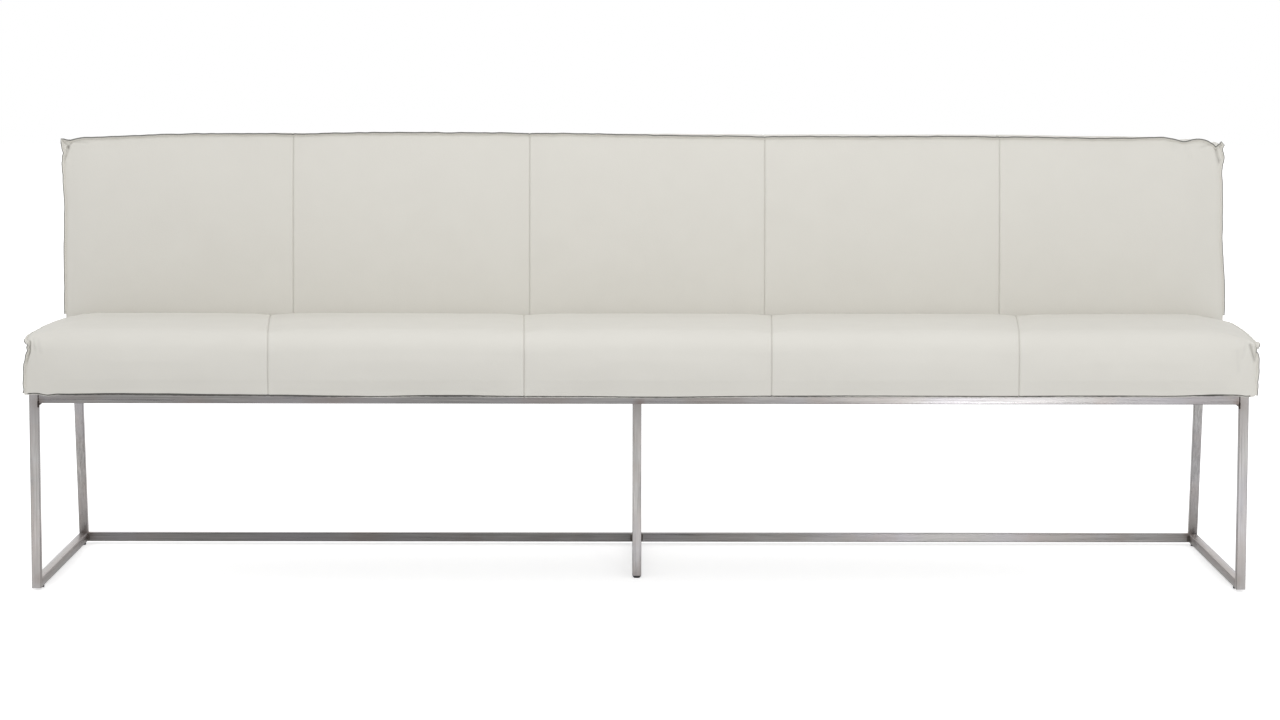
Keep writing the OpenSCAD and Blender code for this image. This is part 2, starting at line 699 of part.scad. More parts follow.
// Leather cover of the seat with its hem, and the raised seams at its ends
module seat_cover() {
    color("linen") difference() {
        cushion(seat_rings(0));
        cushion(seat_rings(cover_t));
        block([hem_w - seat_wood_x, seat_wood_front + hem_w, frame_h - overrun],
              [seat_wood_x - hem_w, seat_wood_rear - hem_w, frame_h + overrun]);
        back_bolt_holes(seat_wood_rear - cover_t, seat_rear_y + overrun);
    }
}
module seat_end_seams() {
    color("gray") difference() {
        for (side = [-1, 1]) raised_seam(seat_seam_stops(side));
        cushion(seat_rings(0));
    }
}
module seat_dust_cover() {
    color("black") difference() {
        block([hem_w + fit_gap - seat_wood_x, seat_wood_front + hem_w + fit_gap, wood_z - dust_t],
              [seat_wood_x - hem_w - fit_gap, seat_wood_rear - hem_w - fit_gap, wood_z]);
        packer_holes();
    }
}
module packer_holes() {
    reach = packer_w / 2 + fit_gap;
    for (p = screw_places)
        block([p[0] - reach, p[1] - reach, frame_h - overrun],
              [p[0] + reach, p[1] + reach, wood_z + overrun]);
}

// Wooden frame of the backrest
module back_lower_board() {
    color("burlywood") difference() {
        block([-back_wood_x, back_wood_front, wood_z], [back_wood_x, back_lower_rear, kink_z]);
        back_bolt_holes(back_wood_front - overrun, back_lower_rear + overrun);
    }
}
module back_bottom_board() {
    low = wood_z;
    high = wood_z + board_t;
    color("burlywood") difference() {
        sawn(-back_wood_x, 2 * back_wood_x, [
            [back_lower_rear, low], [back_lower_rear, high],
            [back_wood_rear(high) - panel_t, high], [back_wood_rear(low) - panel_t, low]]);
        screw_holes();
    }
}
module back_top_board() {
    high = rib_top + board_t;
    color("burlywood") sawn(-back_wood_x, 2 * back_wood_x, [
        [rib_front(rib_top), rib_top], [rib_front(high), high],
        [back_wood_rear(high) - panel_t, high], [back_wood_rear(rib_top) - panel_t, rib_top]]);
}
module back_ribs() {
    low = wood_z + board_t;
    color("burlywood") for (x = concat([board_t / 2 - back_wood_x], tab_xs, [back_wood_x - board_t / 2]))
        sawn(x - board_t / 2, board_t, [
            [back_lower_rear, low], [back_lower_rear, kink_z], [rib_front(kink_z), kink_z],
            [rib_front(rib_top), rib_top], [back_wood_rear(rib_top) - panel_t, rib_top],
            [back_wood_rear(low) - panel_t, low]]);
}
module back_webbing() {
    color("dimgray") for (share = back_strap_shares) {
        low = mix(kink_z, rib_top, share) - strap_w / 2;
        high = low + strap_w;
        sawn(-back_wood_x, 2 * back_wood_x, [
            [rib_front(low) - strap_t, low], [rib_front(low), low],
            [rib_front(high), high], [rib_front(high) - strap_t, high]]);
    }
}
module back_rear_panel() {
    high = rib_top + board_t;
    color("peru") sawn(-back_wood_x, 2 * back_wood_x, [
        [back_wood_rear(wood_z) - panel_t, wood_z], [back_wood_rear(wood_z), wood_z],
        [back_wood_rear(high), high], [back_wood_rear(high) - panel_t, high]]);
}

// Foam of the backrest, in front of the webbing, over the top board and round the ends
module back_foam() {
    high = rib_top + board_t + fit_gap;
    low = kink_z + fit_gap;
    color("khaki") difference() {
        cushion(back_rings(cover_t + fit_gap));
        sawn(-back_wood_x - fit_gap, 2 * (back_wood_x + fit_gap), [
            [back_front_y - overrun, frame_h - overrun], [back_front_y - overrun, low],
            [rib_front(low) - strap_t - fit_gap, low], [rib_front(high) - strap_t - fit_gap, high],
            [back_rear(high) + overrun, high], [back_rear_y + overrun, frame_h - overrun]]);
    }
}
// Leather cover of the backrest with its hem, and the raised seam round its front
module back_cover() {
    color("linen") difference() {
        cushion(back_rings(0));
        cushion(back_rings(cover_t));
        block([hem_w - back_wood_x, back_wood_front + hem_w, frame_h - overrun],
              [back_wood_x - hem_w, back_wood_rear(wood_z) - hem_w, frame_h + overrun]);
        back_bolt_holes(back_front_y - overrun, back_wood_front + cover_t);
    }
}
module back_edge_seam() {
    color("gray") difference() {
        raised_seam(back_seam_stops());
        cushion(back_rings(0));
    }
}
module back_dust_cover() {
    color("black") difference() {
        block([hem_w + fit_gap - back_wood_x, back_wood_front + hem_w + fit_gap, wood_z - dust_t],
              [back_wood_x - hem_w - fit_gap, back_wood_rear(wood_z) - hem_w - fit_gap, wood_z]);
        packer_holes();
    }
}

front_leg_left();
front_leg_right();
front_leg_middle();
rear_leg_left();
rear_leg_right();
rear_leg_middle();
floor_runner_left();
floor_runner_right();
floor_runner_middle();
front_rail();
rear_rail();
side_rail_left();
side_rail_right();
middle_cross_rail();
rear_stretcher_left();
rear_stretcher_right();
tube_end_plates();
leg_foot_plate();
weld_beads();
mounting_tabs();
runner_glides();
middle_leg_foot();
coach_screws();
slotted_packers();
seat_front_board();
seat_rear_board();
seat_side_board_left();
seat_side_board_right();
seat_cross_timbers();
seat_corner_blocks();
seat_webbing();
seat_foam();
seat_cover();
seat_end_seams();
seat_dust_cover();
back_lower_board();
back_bottom_board();
back_top_board();
back_ribs();
back_webbing();
back_rear_panel();
back_foam();
back_cover();
back_edge_seam();
back_dust_cover();
back_bolts();
back_bolt_washers();
back_bolt_nuts();
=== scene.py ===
import math

import bmesh
import bpy
import numpy as np
from mathutils import Matrix, Vector


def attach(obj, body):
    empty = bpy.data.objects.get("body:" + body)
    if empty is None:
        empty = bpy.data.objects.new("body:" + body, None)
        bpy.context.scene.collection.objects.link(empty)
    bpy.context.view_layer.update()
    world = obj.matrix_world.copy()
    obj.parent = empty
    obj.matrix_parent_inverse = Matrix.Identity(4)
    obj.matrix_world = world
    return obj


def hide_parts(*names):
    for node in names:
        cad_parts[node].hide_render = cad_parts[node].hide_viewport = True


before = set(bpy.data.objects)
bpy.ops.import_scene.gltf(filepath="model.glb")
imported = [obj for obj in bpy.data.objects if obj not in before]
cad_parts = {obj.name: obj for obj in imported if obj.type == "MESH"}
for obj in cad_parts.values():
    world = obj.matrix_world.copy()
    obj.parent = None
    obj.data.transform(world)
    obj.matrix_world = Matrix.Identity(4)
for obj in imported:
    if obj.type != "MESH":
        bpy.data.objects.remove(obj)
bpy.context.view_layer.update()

# Sizes are in millimetres and become metres where a mesh is made
MM = 0.001
# Room left on every side of a part that is fitted into another
FIT = 0.3

# Frame
FRAME_H = 387.0
TUBE = 18.0
LEG_X = 1177.0
MIDDLE_X = -4.0
FRONT_Y = -302.0
FOOT_Y = 322.0
TOP_Y = 267.0
MIDDLE_Y = -142.0
RUNNER_TOP = 23.0

# Seat cushion
SEAT_HALF = 1195.404
SEAT_FRONT_Y = -316.5
SEAT_REAR_Y = 139.5
SEAT_EDGE_Z = 506.0
SEAT_H = 512.0
KINK_Z = 459.0
FRONT_ROLL = 38.0
EAR_R = 8.0
LOWER_R = 4.0
SEAT_SEAMS = np.array([-720.0, -223.2, 256.8, 736.8])
SEAT_OPENING = (1146.4, -272.5, 109.2)

# Backrest
BACK_HALF = 1190.404
BACK_FRONT_Y = 140.0
BACK_TOP_Z = 873.404
BACK_REAR_Y = 271.0
BACK_TOP_T = 105.0
BACK_LEAN = math.tan(math.radians(5.3))
BACK_TOP_FRONT_Y = BACK_FRONT_Y + BACK_LEAN * (BACK_TOP_Z - KINK_Z)
REAR_SLOPE = (BACK_TOP_FRONT_Y + BACK_TOP_T - BACK_REAR_Y) / (BACK_TOP_Z - FRAME_H)
REAR_R = 14.0
BACK_SEAMS = np.array([-713.0, -225.6, 259.2, 743.4])
BACK_OPENING = (1141.4, 170.3, 240.7)

# Both cushions: the rounding towards their ends, how far the sides draw in, the puff of the panels, and the layers:
# the cover, the foam before the backrest's ribs, and how far the foam lies inside and its cutting tools pass it
END_ROLL = 80.0
SIDE_DRAW = 5.0
TUCK_REACH = 11.0
PANEL_PUFF = 1.5
SEAM_DIP = 1.0
SEAM_DIP_HALF = 5.0
END_PAD = 4.0
COVER_T = 2.0
LEATHER_T = 1.6
RIB_FOAM = 28.0
FOAM_IN = 7.0
PAST_FOAM = 6.0

# Height of the raised seams, and the stitches along them: step, radius, length, rise as a share of the seam, and
# distance from its middle
SEAM_STAND = 4.6
STITCH_STEP = 4.6
STITCH_R = 0.36
STITCH_LENGTH = 3.4
STITCH_RISE = 0.36
STITCH_OUT = 1.45

# Sewn lines: depth and half width, and the ridges of the turned-in leather beside them
SEWN_DEPTH = 1.5
SEWN_HALF = 0.95
SEWN_RIDGE = 0.3
SEWN_RIDGE_AT = 4.0

# Soft form of the seat: bulge of its front, crown of its top, crease along its back, spread of its seams
SEAT_BULGE = 4.0
SEAT_TUCK = 3.0
SEAT_CROWN = 6.0
SEAT_CREASE = 2.6
SEAM_FAN = 0.063
HEM_FADE = 15.0
HEM_POINT = 4

# Soft form of the backrest: bulge of its front, fall of its top towards the ends and towards the rear
BACK_BULGE = 8.0
BACK_TUCK = 2.5
BACK_END_FALL = 15.0
BACK_REAR_FALL = 0.8
BACK_TOP_REACH = 60.0

# Distance between the sections of the leather, of the loose skin that is swelled, and of the foam
FINE_STEP = 12.0
LOOSE_STEP = 13.0
FOAM_STEP = 40.0

# The swelling: the cloth that the loose skin is for it, how far it may move, and how much of that is kept
CLOTH = {"quality": 6, "mass": 0.4, "tension_stiffness": 30, "compression_stiffness": 30, "shear_stiffness": 12,
         "bending_stiffness": 2, "use_pressure": True, "uniform_pressure_force": 2.0, "vertex_group_mass": "held"}
SWELL_LIMIT = 3.0
SWELL_STEPS = 20
SINK_TAKEN_OFF = 0.85
BACK_TOP_SWELL = 0.1
SEAM_HOLD = 0.7

# How far the seat's ends move to the right of their plain form, by height
SEAT_LEFT_END = [(387, 0.5), (391, 2.0), (397, 4.6), (404, 3.8), (414, 4.4), (428, 5.2), (448, 5.8), (468, 8.4),
                 (477, 9.9), (486, 8.4), (491, 9.2), (496, 9.8), (501, 6), (507, 4)]
SEAT_RIGHT_END = [(387, 0.6), (392, 2.7), (397, 2.4), (405, 3.0), (414, 1.8), (425, 2.8), (436, 3.2), (455, 3.5),
                  (466, 3.7), (477, 3.6), (485, 1.6), (491, 1.6), (496, 3.4), (502, 6.0), (507, 6)]
# The same for the backrest
BACK_LEFT_END = [(387, 8.4), (531, 8.4), (572, 8.3), (614, 7.6), (655, 7.4), (696, 7.6), (737, 7.2), (757, 5.3),
                 (778, 3.0), (787, 3.0), (799, 2.7), (807, 1.4), (817, 0.7), (827, -1.6), (837, -1.2), (847, 1.3),
                 (857, -1.4), (874, -3.5)]
BACK_RIGHT_END = [(387, 15.0), (531, 15.3), (572, 15.2), (614, 12.3), (655, 10.6), (696, 11.2), (737, 12.3),
                  (757, 12.4), (778, 13.2), (799, 11.8), (811, 12.0), (821, 13.6), (831, 15.4), (842, 18.0),
                  (850, 17.2), (856, 16.0), (874, 15)]
# Rise and fall of the backrest's top line about its plain form, across the width
BACK_TOP_LINE = [(-1190, 1), (-1184, -1.5), (-1178, -3), (-1170, -1.6), (-1160, -0.4), (-1150, 0), (-1130, -0.6),
                 (-1100, -1.2), (-1070, -1.8), (-1000, -1.2), (-900, -1), (-800, -1.8), (-735, -2), (-710, -3.2),
                 (-685, -2.4), (-600, -0.4), (-500, 0.6), (-390, 0.2), (-260, -0.4), (-225, -1.4), (-190, -1),
                 (0, -3.7), (125, -5.7), (230, -6.6), (260, -7.7), (290, -6.9), (430, -6.9), (540, -6.5),
                 (700, -6.2), (741, -7), (780, -6.4), (850, -7), (950, -7), (1040, -3.3), (1085, -0.6),
                 (1105, -3.4), (1120, -6.6), (1128, -6), (1140, -1.2), (1155, 0.8), (1166, -0.4), (1174, -4),
                 (1180, -8.5), (1184, -10.5), (1187.5, -9), (1190.4, -5)]
# Height of the seat's top edge at its two ends, from front to rear
SEAT_END_TOP = {
    -1: [(-320, 492.5), (-300, 496), (-260, 498), (-200, 498), (-150, 497.6), (-100, 497.8), (-50, 496.8),
         (0, 495), (40, 492), (74, 489.6), (140, 485)],
    1: [(-320, 486), (-300, 487.5), (-260, 490), (-220, 493), (-180, 495.3), (-140, 496.8), (-100, 497.6),
        (-60, 498.3), (0, 498), (52, 496.8), (100, 495), (140, 493)]}
END_TUCK = 5.0
EAR_REACH = {-1: 2.0, 1: 3.4}
EAR_NOTCH = {-1: 2.0, 1: 0.2}
BACK_EAR_REACH = {-1: 1.0, 1: 4.6}
# Folds pressed into the leather below the corners: from and to across and up, depth and half width
SEAT_FOLDS = [((-1180.5, 488), (-1182.0, 471), 4.8, 2.4), ((-1182.0, 471), (-1187, 453), 3.8, 2.3),
              ((-1174, 494), (-1171, 476), 1.3, 2.5), ((-1165, 492), (-1161, 470), 0.9, 3.4),
              ((1184.0, 487), (1193.0, 459), 4.6, 2.0), ((1195.6, 486), (1195.9, 464), 3.8, 1.7),
              ((1176, 490), (1170, 462), 1.1, 4.0), ((1160, 474), (1163, 436), 0.9, 5.0)]
BACK_FOLDS = [((-1185, 855), (-1178, 845), 2.6, 2.4), ((-1171, 856), (-1178, 845), 2.6, 2.4),
              ((-1178, 845), (-1187, 818), 3.6, 3.0), ((1188, 855), (1197.5, 818), 4.2, 2.6),
              ((1180, 856), (1160, 848), 1.4, 2.5), ((-1165, 858), (-1140, 854), 1.0, 2.5),
              ((1098, 858), (1108, 838), 0.7, 4.0), ((1128, 850), (1136, 826), 0.6, 4.0)]
# How far the leather's lower front edge hangs below the frame's top, across the width
HEM_LINE = [(-1200, 0.4), (-1185, 0), (-1168, -0.4), (-1149, 3.0), (-1130, 1.2), (-1106, 1.2),
            (-1028, 0), (-931, 0.2), (-815, 1.5), (-720, 2.4), (-659, 2.9), (-580, 4.2), (-503, 5.0),
            (-430, 3.4), (-367, 2.7), (-280, 3.8), (-192, 4.6),
            (-76, 4.9), (41, 5.6), (158, 4.5), (245, 3.5), (313, 3.0), (469, 3.0), (624, 3.2), (780, 2.9),
            (916, 2.2), (980, 2.4), (1033, 2.7), (1075, 1.4), (1110, -0.2),
            (1140, 0), (1165, 0.6), (1180, 2.2), (1190, 1.4), (1200, 0)]
# How far the strip of painted shadow along it stands out below it
HEM_REACH = [(-1200, 0.3), (-1170, 0.3), (-1153, 0.4), (-1106, 1.4), (-1028, 1.7), (-931, 2.5), (-815, 2.2),
             (-740, 1.4), (-659, 1.9), (-560, 1.0), (-503, 0.4), (-430, 1.0), (-367, 1.9), (-290, 0.7), (-192, 0.4),
             (-76, 0.3), (41, 0.8), (158, 0.5), (240, 0.3), (313, 1.0), (390, 0.4), (469, 0), (560, 0.2),
             (624, 0.4), (700, 0.2), (780, 0.7), (850, 0.3), (916, 0.9), (970, 0.2), (1033, 0), (1080, 0.6),
             (1110, 1.7), (1140, 0.8), (1170, 0.2), (1200, 0.2)]

# Wooden frames
BOARD_T = 22.0
WOOD_Z = 389.0
SEAT_WOOD_X = 1174.4
SEAT_WOOD_FRONT = -300.5
SEAT_WOOD_REAR = 137.2
BACK_WOOD_X = 1169.4
RIB_TOP = 827.4
STRAP_W = 60.0
STRAP_PITCH = 145.0
STRAP_T = 2.0
STRAP_SAG = 1.6
CLOTH_T = 0.5

# Staples: size of the crown, drop of the shoulders, height, step, and distance from the corners and from the edge
STAPLE = (10.0, 1.2, 0.6)
STAPLE_LEG = 0.7
STAPLE_Z = 388.4
STAPLE_STEP = 38
STAPLE_CORNER = 20
STAPLE_IN = 5.0

# Welds: radius of a ripple in the frame's corners, in the front joints and at their lower ends, and the joints' step
CORNER_WELD_R = 3.0
JOINT_WELD_R = 1.35
JOINT_END_R = 2.0
JOINT_STEP = 1.15

# Camera: where it stands, its yaw, pitch and roll in radians, and its lens
CAMERA_PLACE = (-11.681, -7255.81, 1170.366)
CAMERA_TURN = (0.0019, 0.1025, 0.0015)
CAMERA_LENS = 101.25
CAMERA_SENSOR = 36.0
CAMERA_REACH = 60.0


def stand_camera():
    yaw, pitch, roll = CAMERA_TURN
    forward = Vector((math.sin(yaw) * math.cos(pitch), math.cos(yaw) * math.cos(pitch), -math.sin(pitch)))
    right = Vector((math.cos(yaw), -math.sin(yaw), 0.0))
    up = right.cross(forward)
    side = math.cos(roll) * right + math.sin(roll) * up
    head = -math.sin(roll) * right + math.cos(roll) * up
    lens = bpy.data.cameras.new("camera")
    lens.lens = CAMERA_LENS
    lens.sensor_width = CAMERA_SENSOR
    lens.clip_end = CAMERA_REACH
    camera = bpy.data.objects.new("camera", lens)
    bpy.context.scene.collection.objects.link(camera)
    turn = Matrix((side, head, -forward)).transposed()
    place = Vector(CAMERA_PLACE) * MM
    camera.matrix_world = Matrix.Translation(place) @ turn.to_4x4()
    bpy.context.scene.camera = camera


stand_camera()


# Helpers

def put_in_scene(name, points, faces, smooth=True):
    mesh = bpy.data.meshes.new(name)
    mesh.from_pydata((np.asarray(points) * MM).tolist(), [], faces)
    mesh.update()
    piece = bpy.data.objects.new(name, mesh)
    bpy.context.scene.collection.objects.link(piece)
    if smooth:
        mesh.polygons.foreach_set("use_smooth", [True] * len(mesh.polygons))
    return piece


def drop_selection():
    if bpy.context.object and bpy.context.object.mode != "OBJECT":
        bpy.ops.object.mode_set(mode="OBJECT")
    bpy.ops.object.select_all(action="DESELECT")


def take_up(piece):
    drop_selection()
    piece.select_set(True)
    bpy.context.view_layer.objects.active = piece


def apply_all(piece):
    take_up(piece)
    for modifier in list(piece.modifiers):
        bpy.ops.object.modifier_apply(modifier=modifier.name)


def settle(piece):
    take_up(piece)
    bpy.ops.object.transform_apply(location=True, rotation=True, scale=True)


def face_outwards(piece):
    take_up(piece)
    bpy.ops.object.mode_set(mode="EDIT")
    bpy.ops.mesh.select_all(action="SELECT")
    bpy.ops.mesh.remove_doubles(threshold=0.000002)
    bpy.ops.mesh.normals_make_consistent(inside=False)
    bpy.ops.object.mode_set(mode="OBJECT")


def soften(piece, degrees=35):
    take_up(piece)
    bpy.ops.object.shade_smooth_by_angle(angle=math.radians(degrees))


def join(name, copies):
    drop_selection()
    for piece in copies:
        piece.select_set(True)
    bpy.context.view_layer.objects.active = copies[0]
    bpy.ops.object.join()
    piece = bpy.context.object
    piece.name = name
    piece.data.name = name
    return piece


def tube_faces(stops, n):
    """Faces of a closed tube with n points round it: its sides between the stops, then its two ends."""
    sides = [(i * n + j, i * n + (j + 1) % n, (i + 1) * n + (j + 1) % n, (i + 1) * n + j)
             for i in range(stops - 1) for j in range(n)]
    return sides + [tuple(range(n)), tuple(range((stops - 1) * n, stops * n))[::-1]]


def closed_and_soft(name, points, faces, degrees=50):
    """A closed piece made of points and faces, facing outwards and smooth but for its sharp edges."""
    piece = put_in_scene(name, points, faces)
    face_outwards(piece)
    soften(piece, degrees)
    return piece


def unit(v):
    return v / np.maximum(1e-9, np.linalg.norm(v, axis=-1, keepdims=True))


def throw_away(piece):
    bpy.data.objects.remove(piece, do_unlink=True)


def ease(values, at, to):
    """Smooth curve through values kept at the places at, read at the places to."""
    slope = np.gradient(values, at, axis=0)
    k = np.clip(np.searchsorted(at, to) - 1, 0, len(at) - 2)
    gap = at[k + 1] - at[k]
    shape = (len(to),) + (1,) * (values.ndim - 1)
    t = ((to - at[k]) / gap).reshape(shape)
    gap = gap.reshape(shape)
    return ((2 * t**3 - 3 * t**2 + 1) * values[k] + (t**3 - 2 * t**2 + t) * gap * slope[k]
            + (3 * t**2 - 2 * t**3) * values[k + 1] + (t**3 - t**2) * gap * slope[k + 1])


def slow_waves(places, length, seed):
    """Even, seeded waviness between -1 and 1 along a line, with a main wavelength."""
    source = np.random.default_rng(seed)
    total = np.zeros_like(places, dtype=float)
    for share in (1.0, 0.61, 0.37):
        total += math.sqrt(share) * np.sin(places * 2 * math.pi / (length * share) + source.uniform(0, 6.28))
    return total / 2.1


# Forms of the cushions

def along(a, b, count, crowd=1.0):
    """Points from one place towards another, closer together near the second where they crowd."""
    shares = [1 - (1 - i / count) ** crowd for i in range(count)]
    return [np.array(a) + (np.array(b) - np.array(a)) * share for share in shares]


def read_table(table, places):
    """Smooth values of a table at places inside its range."""
    at, values = (np.array(column, dtype=float) for column in zip(*table))
    return ease(values, at, np.clip(np.atleast_1d(places), at[0], at[-1]))


def round_corner(y, z, r, start, stop, count):
    angles = [math.radians(start + (stop - start) * i / count) for i in range(count)]
    return [np.array((y + r * math.cos(a), z + r * math.sin(a))) for a in angles]


def back_face(z):
    return BACK_FRONT_Y + BACK_LEAN * np.maximum(0, z - KINK_Z)


def back_rear(z):
    return BACK_REAR_Y + REAR_SLOPE * (z - FRAME_H)


def into_end(x, half):
    return (max(0.0, abs(x) - (half - END_ROLL)) / END_ROLL) ** 2


# Points of a cushion's four sides: front, top, rear and underside
SEAT_COUNTS = {"fine": (6, 24, 16, 48, 6, 8, 32, 4, 40, 4), "loose": (1, 6, 5, 34, 2, 3, 7, 2, 30, 2)}
BACK_COUNTS = {"fine": (10, 6, 70, 24, 6, 80, 4, 16, 4), "loose": (5, 2, 28, 9, 2, 33, 2, 5, 2)}


def seat_outline(e, wall, counts):
    """Outline of the seat, from the lower front edge over the top and back along the underside."""
    roll = FRONT_ROLL + (EAR_R - FRONT_ROLL) * e
    rear_top = back_face(SEAT_EDGE_Z) - 0.5
    a, b, c, d, f, g, h, i, j, k = counts
    low = FRAME_H + wall
    turn = max(LOWER_R, wall + 0.5)
    points = round_corner(SEAT_FRONT_Y + turn, FRAME_H + turn, turn - wall, 270, 180, a)
    points += along((SEAT_FRONT_Y + wall, FRAME_H + turn), (SEAT_FRONT_Y + wall, SEAT_EDGE_Z - roll), b)
    points += round_corner(SEAT_FRONT_Y + roll, SEAT_EDGE_Z - roll, roll - wall, 180, 90, c)
    points += along((SEAT_FRONT_Y + roll, SEAT_EDGE_Z - wall), (rear_top - EAR_R, SEAT_EDGE_Z - wall), d)
    points += round_corner(rear_top - EAR_R, SEAT_EDGE_Z - EAR_R, EAR_R - wall, 90, 0, f)
    points += along((rear_top - wall, SEAT_EDGE_Z - EAR_R), (SEAT_REAR_Y - wall, KINK_Z), g)
    points += along((SEAT_REAR_Y - wall, KINK_Z), (SEAT_REAR_Y - wall, low), h)
    points += along((SEAT_REAR_Y - wall, low), (SEAT_OPENING[2], low), i)
    points += along((SEAT_OPENING[2], low), (SEAT_OPENING[1], low), j)
    points += along((SEAT_OPENING[1], low), (SEAT_FRONT_Y + turn, low), k)
    return np.array(points), (a + b + c, d, f + g + h, i + j + k)


def back_outline(e, wall, counts):
    """Outline of the backrest, from the lower front edge over the top and back along the underside."""
    a, b, c, d, f, g, h, i, j = counts
    low, high = FRAME_H + wall, BACK_TOP_Z - wall
    rear_top = float(back_rear(BACK_TOP_Z))
    front = [(BACK_FRONT_Y + wall, low), (BACK_FRONT_Y + wall, KINK_Z),
             (back_face(SEAT_H) + wall, SEAT_H), (back_face(BACK_TOP_Z) + wall, high)]
    points = along(front[0], front[1], a) + along(front[1], front[2], b) + along(front[2], front[3], c, 1.3)
    points += along(front[3], (rear_top - REAR_R, high), d)
    points += round_corner(rear_top - REAR_R, BACK_TOP_Z - REAR_R, REAR_R - wall, 90, 0, f)
    points += along((back_rear(BACK_TOP_Z - REAR_R) - wall, BACK_TOP_Z - REAR_R), (BACK_REAR_Y - wall, low), g)
    points += along((BACK_REAR_Y - wall, low), (BACK_OPENING[2], low), h)
    points += along((BACK_OPENING[2], low), (BACK_OPENING[1], low), i)
    points += along((BACK_OPENING[1], low), (BACK_FRONT_Y + wall, low), j)
    return np.array(points), (a + b + c, d, f + g, h + i + j)


def panel_lift(x, half, seams):
    """How far a panel stands out at a place across the cushion: puffed between its seams, sunk at them."""
    edges = np.concatenate(([-half], seams, [half]))
    i = int(np.clip(np.searchsorted(edges, x, side="right") - 1, 0, len(seams)))
    t = (x - edges[i]) / (edges[i + 1] - edges[i])
    near = np.min(np.abs(x - seams))
    puff = PANEL_PUFF * math.sin(math.pi * min(1, max(0, t)))
    return puff - SEAM_DIP * math.exp(-((near / SEAM_DIP_HALF) ** 2))


def draw_in(t):
    return SIDE_DRAW * (np.abs(t - 0.4) / 0.6) ** 2


def end_tuck(x, half):
    """How far the leather has turned over towards the raised seam at its end, from 0 to 1."""
    off = np.clip(1 - (half - abs(x)) / TUCK_REACH, 0, 1)
    return 1 - math.sqrt(1 - 0.98 * off**2)


def seat_section(x, wall, counts):
    e = into_end(x, SEAT_HALF)
    outline, sides = seat_outline(e, wall, counts)
    y, z = outline[:, 0], outline[:, 1]
    t = (z - FRAME_H) / (SEAT_EDGE_Z - FRAME_H)
    d = (y - SEAT_FRONT_Y) / (SEAT_REAR_Y - SEAT_FRONT_Y)
    lift = panel_lift(x, SEAT_HALF, SEAT_SEAMS) * (1 - e)
    side = np.sign(x) * min(abs(x), SEAT_HALF - wall)
    front = np.maximum(0, 1 - d) ** 8 * np.minimum(1, t / 0.25)
    fan = x * SEAM_FAN * np.maximum(0, d) * (1 - (x / SEAT_HALF) ** 4)
    drop = SEAT_EDGE_Z - END_TUCK - read_table(SEAT_END_TOP[-1 if x < 0 else 1], y)
    hump = np.sin(math.pi * np.clip(d, 0, 1))
    tuck = end_tuck(x, SEAT_HALF)
    shift = read_table(SEAT_LEFT_END if x < 0 else SEAT_RIGHT_END, z) * e**2
    press = SEAT_CREASE * np.clip((d - 0.74) / 0.16, 0, 1) ** 2
    hang = float(read_table(HEM_LINE, x)[0]) * np.clip((SEAT_WOOD_FRONT - y) / EAR_R, 0, 1)
    return np.stack([
        side + fan - np.sign(x) * draw_in(t) * e + shift,
        y - (SEAT_BULGE * (1 - e) * np.sin(math.pi * t) + lift - SEAT_TUCK * tuck) * front,
        z + np.clip(t, 0, None) ** 4 * (SEAT_CROWN * (1 - e) * hump - drop * e + lift - END_TUCK * tuck - press)
        - hang * np.exp(-(((z - FRAME_H) / HEM_FADE) ** 2))], axis=1), sides


def back_section(x, wall, counts):
    e = into_end(x, BACK_HALF)
    outline, sides = back_outline(e, wall, counts)
    y, z = outline[:, 0], outline[:, 1]
    t = (z - FRAME_H) / (BACK_TOP_Z - FRAME_H)
    above = np.maximum(0, (z - SEAT_H) / (BACK_TOP_Z - SEAT_H))
    d = np.clip((y - back_face(z)) / BACK_TOP_T, 0, 1)
    lift = panel_lift(x, BACK_HALF, BACK_SEAMS) * (1 - e)
    side = np.sign(x) * min(abs(x), BACK_HALF - wall)
    tuck = end_tuck(x, BACK_HALF)
    shift = read_table(BACK_LEFT_END if x < 0 else BACK_RIGHT_END, z) * e**2
    line = float(read_table(BACK_TOP_LINE, x)[0]) * (0.35 + 0.65 * (1 - d) ** 3)
    near_top = np.clip(1 - (BACK_TOP_Z - z) / BACK_TOP_REACH, 0, 1) ** 2
    return np.stack([
        side - np.sign(x) * draw_in(t) * e + shift,
        y - ((BACK_BULGE * (1 - e) + lift) * np.sin(math.pi * above) - BACK_TUCK * tuck) * (1 - d) ** 6,
        z - BACK_END_FALL * (abs(x) / BACK_HALF) ** 8 * np.clip(t, 0, None) ** 3
        + (line - BACK_REAR_FALL * d) * near_top], axis=1), sides


def stations(half, seams, opening_x, step, fine):
    """Places of the sections across a cushion, closer at its sewn lines and its ends."""
    if fine:
        near_end = [0, 0.8, 1.7, 2.8, 4.1, 5.5, 7.1, 8.8, 10.6, 12.6, 14.8, 17.2, 19.8, 22.6, 25.6, 28.8,
                    32.3, 36.2, 40.5, 45.2, 50.4, 56.2, 62.8, 70.2, 78.5, 88, 98]
        near_seam = [0.45, 0.95, 1.55, 2.3, 3.2, 4.3, 5.6, 7.4, 10]
    else:
        near_end = [0, 8, 17, 27, 38, 50, 64, 80, 98]
        near_seam = [12]
    marks = [s * (half - v) for v in near_end for s in (-1, 1)] + [-opening_x, opening_x]
    marks += [seam + s * v for seam in seams for v in near_seam for s in (-1, 1)] + list(seams)
    marks = np.unique(np.round(marks, 4))
    keep = [marks[0]]
    for mark in marks[1:]:
        special = abs(abs(mark) - opening_x) < 1e-3
        if special and mark - keep[-1] < 1.0:
            keep[-1] = mark
        elif mark - keep[-1] >= (0.3 if fine else 5) or special:
            keep.append(mark)
    filled = [keep[0]]
    for a, b in zip(keep[:-1], keep[1:]):
        count = max(1, int(math.ceil((b - a) / step - 1e-6)))
        filled += [a + (b - a) * (i + 1) / count for i in range(count)]
    return np.array(filled)


